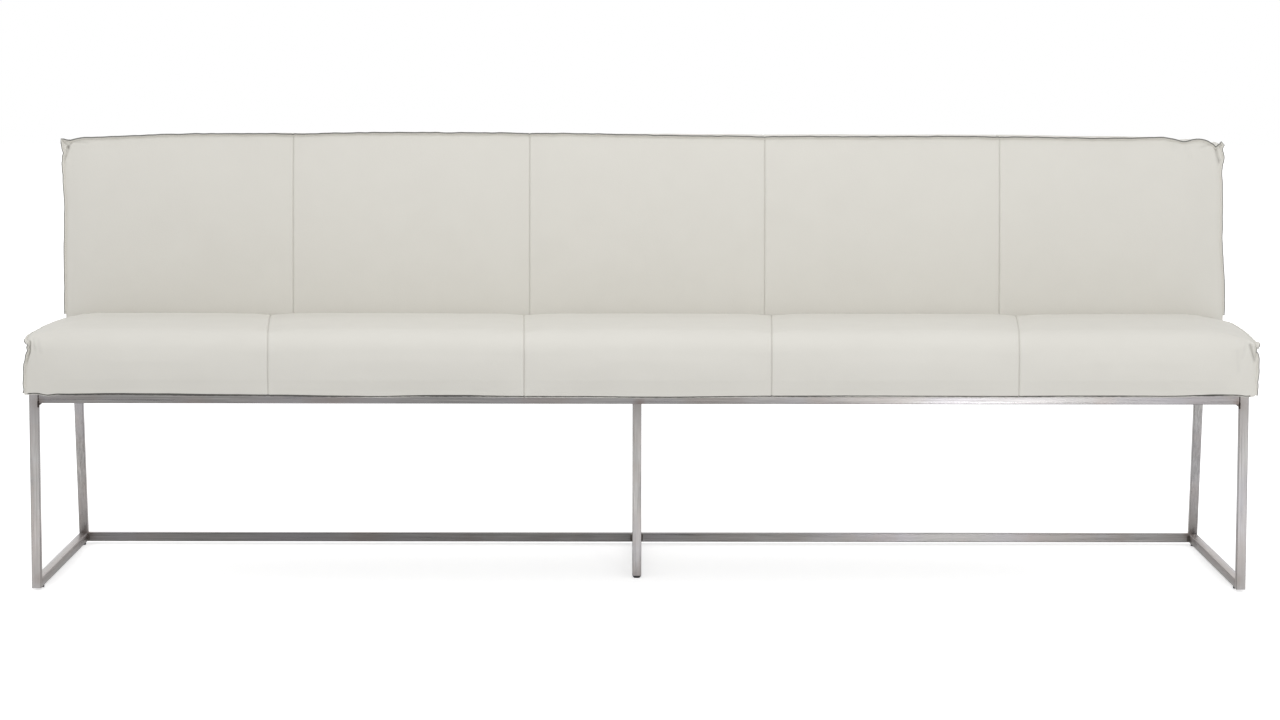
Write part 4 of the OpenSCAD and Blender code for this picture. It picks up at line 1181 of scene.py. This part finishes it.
# Tubes: how much of their rounded corners gets painted shade and how dark, and how much lighter painted light makes
# an upright near the floor
CORNER_SHADE_SHARE = 0.85
CORNER_SHADE_TONE = 0.2
LIT_FOOT_HEIGHTS = (0.22, 0.02)
LIT_FOOT_TONE = 1.25
# How much painted shade darkens the sewn lines and the folds
SEWN_SHADE_SHARE = 0.24


def node(tree, kind, **values):
    made = tree.nodes.new(kind)
    for key, value in values.items():
        setattr(made, key, value)
    return made


def group(name, inputs, outputs):
    """A new node group, from its inputs with their defaults and the names of its outputs."""
    tree = bpy.data.node_groups.new(name, "ShaderNodeTree")
    for title, value in inputs.items():
        kind = "NodeSocketVector" if isinstance(value, tuple) else "NodeSocketFloat"
        tree.interface.new_socket(name=title, in_out="INPUT", socket_type=kind).default_value = value
    for title in outputs:
        tree.interface.new_socket(name=title, in_out="OUTPUT", socket_type="NodeSocketFloat")
    return tree, tree.nodes.new("NodeGroupInput"), tree.nodes.new("NodeGroupOutput")


def join_up(tree, a, b):
    tree.links.new(a, b)


def noise(tree, vector, scale, detail=3.0, rough=0.5, distort=0.0):
    made = node(tree, "ShaderNodeTexNoise")
    made.inputs["Scale"].default_value = scale
    made.inputs["Detail"].default_value = detail
    made.inputs["Roughness"].default_value = rough
    made.inputs["Distortion"].default_value = distort
    if vector:
        join_up(tree, vector, made.inputs["Vector"])
    return made.outputs["Fac"]


def reckon(tree, a, b, operation, clamp=False):
    """One step of arithmetic on two numbers or sockets."""
    made = node(tree, "ShaderNodeMath", operation=operation, use_clamp=clamp)
    for socket, value in zip(made.inputs, (a, b)):
        if isinstance(value, (int, float)):
            socket.default_value = value
        else:
            join_up(tree, value, socket)
    return made.outputs[0]


def sum_of(tree, a, b, clamp=False):
    return reckon(tree, a, b, "ADD", clamp)


def product_of(tree, a, b):
    return reckon(tree, a, b, "MULTIPLY")


def size_of(tree, a):
    return reckon(tree, a, 0, "ABSOLUTE")


def weighted(tree, *pairs):
    """Sum of sockets, each times its own weight."""
    total = None
    for value, weight in pairs:
        term = product_of(tree, value, weight)
        total = term if total is None else sum_of(tree, total, term)
    return total


def parts_of(tree, kind, output):
    """The three parts of a vector that a node of some kind gives."""
    made = node(tree, "ShaderNodeSeparateXYZ")
    join_up(tree, node(tree, kind).outputs[output], made.inputs[0])
    return made.outputs


def spread(tree, value, low, high, out_low=0.0, out_high=1.0):
    made = node(tree, "ShaderNodeMapRange")
    join_up(tree, value, made.inputs["Value"])
    for title, number in (("From Min", low), ("From Max", high), ("To Min", out_low), ("To Max", out_high)):
        if isinstance(number, (int, float)):
            made.inputs[title].default_value = number
        else:
            join_up(tree, number, made.inputs[title])
    return made.outputs["Result"]


def blend_colours(tree, factor, a, b, kind="MIX"):
    made = node(tree, "ShaderNodeMix", data_type="RGBA", blend_type=kind)
    for socket, value in ((made.inputs["Factor"], factor), (made.inputs[6], a), (made.inputs[7], b)):
        if isinstance(value, (int, float)):
            socket.default_value = value
        elif isinstance(value, tuple):
            socket.default_value = value + (1.0,)
        else:
            join_up(tree, value, socket)
    return made.outputs[2]


def shade(colour, *shares):
    """A colour times one share, or times one share for each of its parts."""
    return tuple(v * share for v, share in zip(colour, shares * 3 if len(shares) == 1 else shares))


def object_place(tree):
    return node(tree, "ShaderNodeTexCoord").outputs["Object"]


def stretched(tree, vector, scale):
    made = node(tree, "ShaderNodeMapping")
    join_up(tree, vector, made.inputs["Vector"])
    if isinstance(scale, tuple):
        made.inputs["Scale"].default_value = scale
    else:
        join_up(tree, scale, made.inputs["Scale"])
    return made.outputs["Vector"]


def leather_grain_group():
    """Fine pebbles of leather, its soft unevenness, and slow changes of tone and gloss."""
    tree, given, result = group("leather_grain", {"Grain size": 1.0, "Mottle": 1.0}, ("Height", "Tone", "Gloss"))
    place = object_place(tree)
    bend = noise(tree, place, 60.0, 2.0)
    warped = node(tree, "ShaderNodeMix", data_type="VECTOR")
    warped.inputs["Factor"].default_value = 0.012
    join_up(tree, place, warped.inputs[4])
    bent = node(tree, "ShaderNodeCombineXYZ")
    for socket in bent.inputs:
        join_up(tree, bend, socket)
    join_up(tree, bent.outputs[0], warped.inputs[5])
    cells = node(tree, "ShaderNodeTexVoronoi", feature="SMOOTH_F1")
    join_up(tree, product_of(tree, given.outputs["Grain size"], 620.0), cells.inputs["Scale"])
    cells.inputs["Smoothness"].default_value = 0.5
    join_up(tree, warped.outputs[1], cells.inputs["Vector"])
    pebbles = spread(tree, cells.outputs["Distance"], 0.1, 0.75, 1.0, 0.0)
    fine = noise(tree, place, 1900.0, 2.0)
    soft = noise(tree, place, 140.0, 3.0, 0.55)
    join_up(tree, weighted(tree, (pebbles, 0.6), (fine, 0.25), (soft, 0.5)), result.inputs["Height"])
    broad = noise(tree, place, 3.2, 4.0, 0.55)
    clouds = noise(tree, place, 17.0, 3.0, 0.5)
    tone = spread(tree, weighted(tree, (broad, 0.6), (clouds, 0.4)), 0.35, 0.65)
    join_up(tree, product_of(tree, tone, given.outputs["Mottle"]), result.inputs["Tone"])
    join_up(tree, spread(tree, sum_of(tree, pebbles, clouds), 0.3, 1.4, 1.0, 0.0), result.inputs["Gloss"])
    return tree


def brushed_group():
    """Fine lines along a tube, with streaks and slow changes of tone where it was ground and handled."""
    tree, given, result = group("brushed_lines", {"Stretch": (1.0, 1.0, 1.0), "Slow stretch": (1.0, 1.0, 1.0)},
                                ("Height", "Tone", "Patch", "Cool", "Gloss"))
    place = object_place(tree)
    lines = stretched(tree, place, given.outputs["Stretch"])
    fine = noise(tree, lines, 1.0, 4.0, 0.6)
    coarse = noise(tree, lines, 0.3, 3.0, 0.6)
    slow_place = stretched(tree, place, given.outputs["Slow stretch"])
    slow = noise(tree, slow_place, 1.0, 4.0, 0.65, 0.5)
    stain = noise(tree, place, 7.0, 5.0, 0.62, 0.3)
    blue = noise(tree, stretched(tree, place, (1.0, 1.0, -1.0)), 4.3, 3.0, 0.5)
    join_up(tree, sum_of(tree, fine, product_of(tree, coarse, 0.5)), result.inputs["Height"])
    mixed = sum_of(tree, product_of(tree, fine, 0.4),
                   sum_of(tree, product_of(tree, coarse, 0.6), product_of(tree, slow, 1.0)))
    join_up(tree, spread(tree, mixed, 0.76, 1.24), result.inputs["Tone"])
    join_up(tree, spread(tree, stain, 0.46, 0.7), result.inputs["Patch"])
    join_up(tree, spread(tree, blue, 0.45, 0.65), result.inputs["Cool"])
    join_up(tree, spread(tree, sum_of(tree, slow, coarse), 0.75, 1.25), result.inputs["Gloss"])
    return tree


def weld_heat_and_shade_group():
    """How near the tube is to the frame's joints: with a short reach for the welds' heat tint, with a long one for
    painted shade on the uprights.
    """
    tree, given, result = group("weld_heat_and_shade", {"Reach": HEAT_REACH}, ("Tint",))
    parts = node(tree, "ShaderNodeSeparateXYZ")
    place = object_place(tree)
    join_up(tree, place, parts.inputs[0])
    off = []
    for x, z in ((LEG_X - TUBE / 2, FRAME_H - TUBE), (LEG_X - TUBE / 2, RUNNER_TOP), (0.0, FRAME_H - TUBE)):
        across = reckon(tree, size_of(tree, parts.outputs["X"]), x * MM, "SUBTRACT")
        up = reckon(tree, parts.outputs["Z"], z * MM, "SUBTRACT")
        squares = sum_of(tree, reckon(tree, across, 2, "POWER"), reckon(tree, up, 2, "POWER"))
        off.append(reckon(tree, squares, 0.5, "POWER"))
    nearest = reckon(tree, reckon(tree, off[0], off[1], "MINIMUM"), off[2], "MINIMUM")
    nearest = sum_of(tree, nearest, product_of(tree, noise(tree, place, 160.0, 3.0), 0.008))
    join_up(tree, spread(tree, nearest, given.outputs["Reach"], 0.006), result.inputs["Tint"])
    return tree


def tube_corner_shade_group():
    """The rounded corners of a square tube, darkened as painted shade."""
    tree, given, result = group("tube_corner_shade", {}, ("Corner shade",))
    facing = parts_of(tree, "ShaderNodeNewGeometry", "Normal")
    straight = [size_of(tree, facing[letter]) for letter in "XYZ"]
    most = reckon(tree, reckon(tree, straight[0], straight[1], "MAXIMUM"), straight[2], "MAXIMUM")
    join_up(tree, spread(tree, most, 0.97, 0.85), result.inputs["Corner shade"])
    return tree


def wood_grain_group():
    """Growth lines along a board, with pores and a slow change of colour."""
    tree, given, result = group("wood_grain", {"Stretch": (1.0, 1.0, 1.0)}, ("Rings", "Pores"))
    lines = stretched(tree, object_place(tree), given.outputs["Stretch"])
    warp = noise(tree, lines, 0.5, 2.0)
    wave = node(tree, "ShaderNodeTexWave", wave_type="RINGS", rings_direction="SPHERICAL")
    wave.inputs["Scale"].default_value = 0.6
    wave.inputs["Distortion"].default_value = 5.0
    wave.inputs["Detail"].default_value = 2.0
    join_up(tree, lines, wave.inputs["Vector"])
    join_up(tree, weighted(tree, (wave.outputs["Fac"], 0.55), (warp, 0.45)), result.inputs["Rings"])
    join_up(tree, spread(tree, noise(tree, lines, 9.0, 2.0), 0.55, 0.75), result.inputs["Pores"])
    return tree


def weave_group():
    """Over-and-under of a plain woven cloth, from two sets of threads."""
    tree, given, result = group("plain_weave", {"Threads": 800.0}, ("Height", "Gap"))
    place = parts_of(tree, "ShaderNodeTexCoord", "Object")
    sines = []
    for axis in ("X", "Y"):
        angle = product_of(tree, place[axis], given.outputs["Threads"])
        sines.append(reckon(tree, product_of(tree, angle, math.pi), 0, "SINE"))
    join_up(tree, spread(tree, product_of(tree, *sines), -1.0, 1.0), result.inputs["Height"])
    threads = sum_of(tree, size_of(tree, sines[0]), size_of(tree, sines[1]))
    join_up(tree, spread(tree, threads, 0.0, 0.7, 1.0, 0.0), result.inputs["Gap"])
    return tree


GRAIN = leather_grain_group()
BRUSHED = brushed_group()
HEAT_AND_SHADE = weld_heat_and_shade_group()
TUBE_CORNER_SHADE = tube_corner_shade_group()
WOOD = wood_grain_group()
WEAVE = weave_group()


def new_material(name, colour, rough, metal=0.0):
    made = bpy.data.materials.new(name)
    made.use_nodes = True
    made.diffuse_color = colour + (1.0,)
    shader = made.node_tree.nodes["Principled BSDF"]
    shader.inputs["Base Color"].default_value = colour + (1.0,)
    shader.inputs["Roughness"].default_value = rough
    shader.inputs["Metallic"].default_value = metal
    return made, made.node_tree, shader


def place_group(tree, which, **values):
    made = node(tree, "ShaderNodeGroup")
    made.node_tree = which
    for title, value in values.items():
        made.inputs[title.replace("_", " ")].default_value = value
    return made


def add_bump(tree, shader, height, distance, strength=1.0):
    bump = node(tree, "ShaderNodeBump")
    bump.inputs["Strength"].default_value = strength
    bump.inputs["Distance"].default_value = distance
    join_up(tree, height, bump.inputs["Height"])
    join_up(tree, bump.outputs["Normal"], shader.inputs["Normal"])


def leather_material(name, light, dark, rough, bump, grain=1.0, painted_light_sides=None):
    made, tree, shader = new_material(name, light, rough)
    grain_node = place_group(tree, GRAIN, Grain_size=grain)
    colour = blend_colours(tree, grain_node.outputs["Tone"], dark, light)
    # Painted shade in the sewn lines and the folds
    sewn = node(tree, "ShaderNodeAttribute", attribute_name="sewn")
    colour = blend_colours(tree, product_of(tree, sewn.outputs["Fac"], SEWN_SHADE_SHARE), colour, shade(dark, 0.5))
    # Faces turned sideways are painted paler: painted light on the side seams' cut edges
    if painted_light_sides:
        facing = parts_of(tree, "ShaderNodeNewGeometry", "Normal")
        sideways = spread(tree, size_of(tree, facing["X"]), 0.3, 0.7, 0.0, 0.7)
        colour = blend_colours(tree, sideways, colour, painted_light_sides)
    join_up(tree, colour, shader.inputs["Base Color"])
    join_up(tree, spread(tree, grain_node.outputs["Gloss"], 0.0, 1.0, rough - 0.05, rough + 0.08),
            shader.inputs["Roughness"])
    shader.inputs["Specular IOR Level"].default_value = 0.4
    add_bump(tree, shader, grain_node.outputs["Height"], bump)
    return made


LEATHER = leather_material("leather", (0.722, 0.706, 0.656), (0.704, 0.687, 0.638), 0.58, 0.00012)
CUT_EDGE = leather_material("leather_cut_edge", (0.23, 0.226, 0.212), (0.14, 0.137, 0.129), 0.9, 0.0003, 0.6,
                            (0.4, 0.39, 0.36))
# Near-black: painted shadow in the gap under the seat's front
HEM_SHADOW = leather_material("leather_hem_shadow", (0.14, 0.137, 0.129), (0.08, 0.078, 0.073), 0.9, 0.0003, 0.6)
THREAD = leather_material("thread", (0.66, 0.64, 0.59), (0.52, 0.5, 0.45), 0.7, 0.00005, 2.0)


def steel_material(name, axis, stretch, slow, colour=(0.5, 0.485, 0.478), joint_shade_share=0.75):
    made, tree, shader = new_material(name, colour, 0.33, 1.0)
    shader.inputs["Anisotropic"].default_value = 0.85
    round_tube = node(tree, "ShaderNodeTangent", direction_type="RADIAL", axis=axis)
    join_up(tree, round_tube.outputs["Tangent"], shader.inputs["Tangent"])
    lines = place_group(tree, BRUSHED, Stretch=stretch, Slow_stretch=slow)
    tone = blend_colours(tree, lines.outputs["Tone"], shade(colour, 0.55), shade(colour, 1.22))
    cool = product_of(tree, lines.outputs["Cool"], TINT_SHARE)
    tone = blend_colours(tree, cool, tone, shade(colour, 0.96, 0.95, 1.04))
    warm = product_of(tree, lines.outputs["Patch"], TINT_SHARE)
    tone = blend_colours(tree, warm, tone, shade(colour, 0.86, 0.76, 0.7))
    heat = place_group(tree, HEAT_AND_SHADE, Reach=HEAT_REACH)
    burnt = product_of(tree, heat.outputs["Tint"], TINT_SHARE)
    tone = blend_colours(tree, burnt, tone, shade(colour, 0.5, 0.36, 0.3))
    if axis == "Z":
        # Painted shade on the uprights, darker towards the frame's joints
        joint_shade = place_group(tree, HEAT_AND_SHADE, Reach=JOINT_SHADE_REACH)
        tone = blend_colours(tree, product_of(tree, joint_shade.outputs["Tint"], joint_shade_share), tone,
                             shade(colour, 0.6, 0.58, 0.57))
        # Painted light: the uprights lighter towards the floor
        height = parts_of(tree, "ShaderNodeTexCoord", "Object")["Z"]
        tone = blend_colours(tree, spread(tree, height, *LIT_FOOT_HEIGHTS), tone, (LIT_FOOT_TONE,) * 3, "MULTIPLY")
    # Painted shade on the tubes' rounded corners
    corner = product_of(tree, place_group(tree, TUBE_CORNER_SHADE).outputs["Corner shade"], CORNER_SHADE_SHARE)
    tone = blend_colours(tree, corner, tone, shade(colour, CORNER_SHADE_TONE))
    join_up(tree, tone, shader.inputs["Base Color"])
    join_up(tree, spread(tree, lines.outputs["Gloss"], 0.0, 1.0, 0.24, 0.45), shader.inputs["Roughness"])
    add_bump(tree, shader, lines.outputs["Height"], 0.00004)
    return made


STEEL_X = steel_material("steel_brushed_across", "X", (6.0, 900.0, 900.0), (7.0, 260.0, 260.0))
STEEL_Y = steel_material("steel_brushed_deep", "Y", (900.0, 6.0, 900.0), (260.0, 9.0, 260.0))
# The uprights' steel is lighter than the rails': painted light for the reflections along them
STEEL_Z = steel_material("steel_brushed_up_lit", "Z", (900.0, 900.0, 6.0), (260.0, 260.0, 10.0), (0.62, 0.607, 0.6))
# The middle leg's steel is a darker copy with more shade near its joint: painted shade under the seat
STEEL_MIDDLE_SHADED = steel_material("steel_brushed_middle_shaded", "Z", (900.0, 900.0, 6.0), (260.0, 260.0, 10.0),
                              (0.575, 0.56, 0.55), 1.3)


def wood_material(name, stretch, light=(0.76, 0.6, 0.4), dark=(0.6, 0.42, 0.24)):
    made, tree, shader = new_material(name, light, 0.65)
    grain = place_group(tree, WOOD, Stretch=stretch)
    colour = blend_colours(tree, grain.outputs["Rings"], light, dark)
    colour = blend_colours(tree, product_of(tree, grain.outputs["Pores"], 0.5), colour, shade(dark, 0.6))
    join_up(tree, colour, shader.inputs["Base Color"])
    add_bump(tree, shader, grain.outputs["Pores"], 0.0002, 0.6)
    return made


TIMBER_X = wood_material("timber_across", (2.0, 70.0, 70.0))
TIMBER_Y = wood_material("timber_deep", (70.0, 3.0, 70.0))
TIMBER_Z = wood_material("timber_up", (70.0, 70.0, 3.0))


def speckled(name, light, dark, scale, rough, bump, metal=0.0):
    made, tree, shader = new_material(name, light, rough, metal)
    place = object_place(tree)
    specks = noise(tree, place, scale, 4.0, 0.6)
    broad = noise(tree, place, scale / 30, 3.0, 0.5)
    share = spread(tree, weighted(tree, (specks, 0.6), (broad, 0.4)), 0.35, 0.65)
    join_up(tree, blend_colours(tree, share, dark, light), shader.inputs["Base Color"])
    join_up(tree, spread(tree, specks, 0.3, 0.7, rough - 0.06, rough + 0.08), shader.inputs["Roughness"])
    add_bump(tree, shader, specks, bump)
    return made


HARDBOARD = speckled("hardboard", (0.45, 0.31, 0.2), (0.3, 0.19, 0.11), 900.0, 0.6, 0.0001)
FOAM = speckled("open_foam", (0.88, 0.84, 0.68), (0.74, 0.69, 0.52), 1100.0, 0.95, 0.0006)
NYLON = speckled("nylon", (0.045, 0.045, 0.047), (0.03, 0.03, 0.032), 700.0, 0.5, 0.00005)
ZINC = speckled("zinc_plate", (0.62, 0.63, 0.66), (0.42, 0.44, 0.5), 240.0, 0.33, 0.00004, metal=1.0)
WELD = speckled("weld_metal", (0.34, 0.32, 0.3), (0.16, 0.13, 0.12), 420.0, 0.42, 0.0002, metal=1.0)
JOINT_WELD = speckled("weld_burnt", (0.1, 0.08, 0.072), (0.035, 0.026, 0.023), 380.0, 0.5, 0.0002, metal=1.0)


def woven(name, light, dark, threads, rough, bump):
    made, tree, shader = new_material(name, light, rough)
    weave = place_group(tree, WEAVE, Threads=threads)
    join_up(tree, blend_colours(tree, weave.outputs["Height"], dark, light), shader.inputs["Base Color"])
    join_up(tree, spread(tree, weave.outputs["Gap"], 0.0, 1.0, rough, rough + 0.1), shader.inputs["Roughness"])
    add_bump(tree, shader, weave.outputs["Height"], bump)
    return made


WEBBING = woven("elastic_webbing", (0.1, 0.1, 0.1), (0.04, 0.04, 0.04), 600.0, 0.8, 0.0004)
DUST_CLOTH = woven("dust_cloth", (0.05, 0.05, 0.05), (0.02, 0.02, 0.02), 900.0, 0.9, 0.0002)


# The pieces that stay as the construction gives them, by material
CAD_FINISH = {
    STEEL_Z: ["front_leg_left", "front_leg_right", "rear_leg_left", "rear_leg_right", "rear_leg_middle"],
    STEEL_MIDDLE_SHADED: ["front_leg_middle"],
    STEEL_Y: ["floor_runner_left", "floor_runner_right", "floor_runner_middle", "side_rail_left",
              "side_rail_right", "middle_cross_rail", "mounting_tabs"],
    STEEL_X: ["front_rail", "rear_rail", "rear_stretcher_left", "rear_stretcher_right", "tube_end_plates",
              "leg_foot_plate"],
    WELD: ["weld_beads"],
    NYLON: ["runner_glides", "middle_leg_foot", "slotted_packers"],
    ZINC: ["coach_screws", "back_bolts", "back_bolt_washers", "back_bolt_nuts"],
    TIMBER_X: ["seat_front_board", "seat_rear_board", "back_lower_board", "back_bottom_board", "back_top_board"],
    TIMBER_Y: ["seat_side_board_left", "seat_side_board_right", "seat_cross_timbers"],
    TIMBER_Z: ["seat_corner_blocks", "back_ribs"],
    HARDBOARD: ["back_rear_panel"],
    WEBBING: ["seat_webbing", "back_webbing"],
}
for made, names in CAD_FINISH.items():
    for name in names:
        piece = bpy.data.objects[name]
        for place in piece.material_slots:
            place.material = made

# The pieces made here: what they replace, their slot and their materials
MADE_FINISH = [
    (seat_leather, "seat_cover", "leather", LEATHER),
    (back_leather, "back_cover", "leather", LEATHER),
    (seat_seam_left, "seat_end_seams", "leather_edge", LEATHER, CUT_EDGE),
    (seat_seam_right, "seat_end_seams", "leather_edge", LEATHER, CUT_EDGE),
    (back_seam, "back_edge_seam", "leather_edge", LEATHER, CUT_EDGE),
    (seat_hem, None, "leather_edge", HEM_SHADOW),
    (seat_pad, "seat_foam", "foam", FOAM),
    (back_pad, "back_foam", "foam", FOAM),
    (seat_dust, "seat_dust_cover", "dust_cloth", DUST_CLOTH),
    (back_dust, "back_dust_cover", "dust_cloth", DUST_CLOTH),
    (seat_webs, "seat_webbing", "webbing", WEBBING),
    (back_webs, "back_webbing", "webbing", WEBBING),
    (seat_staples, None, "zinc", ZINC),
    (back_staples, None, "zinc", ZINC),
    (welds, "weld_beads", "weld", WELD),
    (joint_welds, None, "weld", JOINT_WELD),
] + [(piece, None, None, THREAD) for piece in seat_stitches + [back_stitches]]
for piece, replaced, slot, *materials in MADE_FINISH:
    for made in materials:
        piece.data.materials.append(made)
    if replaced:
        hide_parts(replaced)
    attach(piece, "root")


# Room and light

FLOOR_SIZE = 40.0
FLOOR_GLOW = 0.62
FLOOR_MIRRORED = 0.1
ROOM_LIGHT = 0.77
# Light of the room as the steel mirrors it, by direction: from and to, and the light at each
WALL_MIRRORED = (-0.3, 0.3, 0.13, 1.0)
FLANKS_RISE = (0.2, 0.55, 0.0, 0.95)
FLANKS_FALL = (0.62, 0.9, 1.0, 0.12)
LEFT_TO_RIGHT = (-0.8, 0.8, 0.9, 1.15)
# Lamps: place, what they point at, size and power
LAMPS = {
    "overhead": ((0.0, -0.65, 2.3), (0.0, -0.1, 0.7), (3.0, 0.6), 10.4),
    "left": ((-2.8, -2.4, 2.6), (-0.5, 0.0, 0.6), (1.6, 1.6), 2.5),
    "strip": ((1.10, -4.5, 0.9), (0.64, -0.3, 0.6), (0.36, 1.6), 21.5),
    "floor_right": ((1.35, -1.35, 0.6), (1.3, -1.15, 0.0), (0.5, 0.5), 0.6),
}


def lay_floor():
    drop_selection()
    bpy.ops.mesh.primitive_plane_add(size=FLOOR_SIZE, location=(0, 0, 0))
    floor = bpy.context.object
    floor.name = "floor"
    made, tree, shader = new_material("floor_white", (0.9, 0.9, 0.9), 0.9)
    shader.inputs["Specular IOR Level"].default_value = 0.1
    light = node(tree, "ShaderNodeLightPath")
    glow = node(tree, "ShaderNodeEmission")
    glow.inputs["Color"].default_value = (1, 1, 1, 1)
    seen = sum_of(tree, light.outputs["Is Camera Ray"], light.outputs["Is Transmission Ray"])
    seen = sum_of(tree, seen, product_of(tree, light.outputs["Is Glossy Ray"], FLOOR_MIRRORED), clamp=True)
    join_up(tree, product_of(tree, seen, FLOOR_GLOW), glow.inputs["Strength"])
    both = node(tree, "ShaderNodeAddShader")
    join_up(tree, shader.outputs[0], both.inputs[0])
    join_up(tree, glow.outputs[0], both.inputs[1])
    join_up(tree, both.outputs[0], tree.nodes["Material Output"].inputs["Surface"])
    floor.data.materials.append(made)


def hang_lamp(name, place, aim, size, power):
    lamp = bpy.data.lights.new(name, "AREA")
    lamp.shape = "RECTANGLE"
    lamp.size, lamp.size_y = size
    lamp.energy = power
    stand = bpy.data.objects.new(name, lamp)
    bpy.context.scene.collection.objects.link(stand)
    stand.location = place
    stand.rotation_euler = (Vector(aim) - Vector(place)).to_track_quat("-Z", "Y").to_euler()
    stand.visible_camera = False
    return stand


def light_the_room():
    world = bpy.data.worlds.new("studio")
    bpy.context.scene.world = world
    world.use_nodes = True
    tree = world.node_tree
    tree.nodes.clear()
    out = node(tree, "ShaderNodeOutputWorld")
    back = node(tree, "ShaderNodeBackground")
    path = node(tree, "ShaderNodeLightPath")
    seen = sum_of(tree, path.outputs["Is Camera Ray"], path.outputs["Is Transmission Ray"], clamp=True)
    way = parts_of(tree, "ShaderNodeTexCoord", "Generated")
    wall = spread(tree, way["Y"], *WALL_MIRRORED)
    sideways = size_of(tree, way["X"])
    flanks = product_of(tree, spread(tree, sideways, *FLANKS_RISE), spread(tree, sideways, *FLANKS_FALL))
    flanks = product_of(tree, flanks, spread(tree, way["X"], *LEFT_TO_RIGHT))
    wall = reckon(tree, wall, flanks, "MAXIMUM")
    seen = sum_of(tree, seen, product_of(tree, wall, path.outputs["Is Glossy Ray"]), clamp=True)
    plain = product_of(tree, path.outputs["Is Diffuse Ray"], ROOM_LIGHT)
    back.inputs["Color"].default_value = (1, 1, 1, 1)
    join_up(tree, sum_of(tree, seen, plain, clamp=True), back.inputs["Strength"])
    join_up(tree, back.outputs[0], out.inputs["Surface"])
    for name, (place, aim, size, power) in LAMPS.items():
        hang_lamp(name, place, aim, size, power)


lay_floor()
light_the_room()
bpy.context.scene.view_settings.view_transform = "Standard"
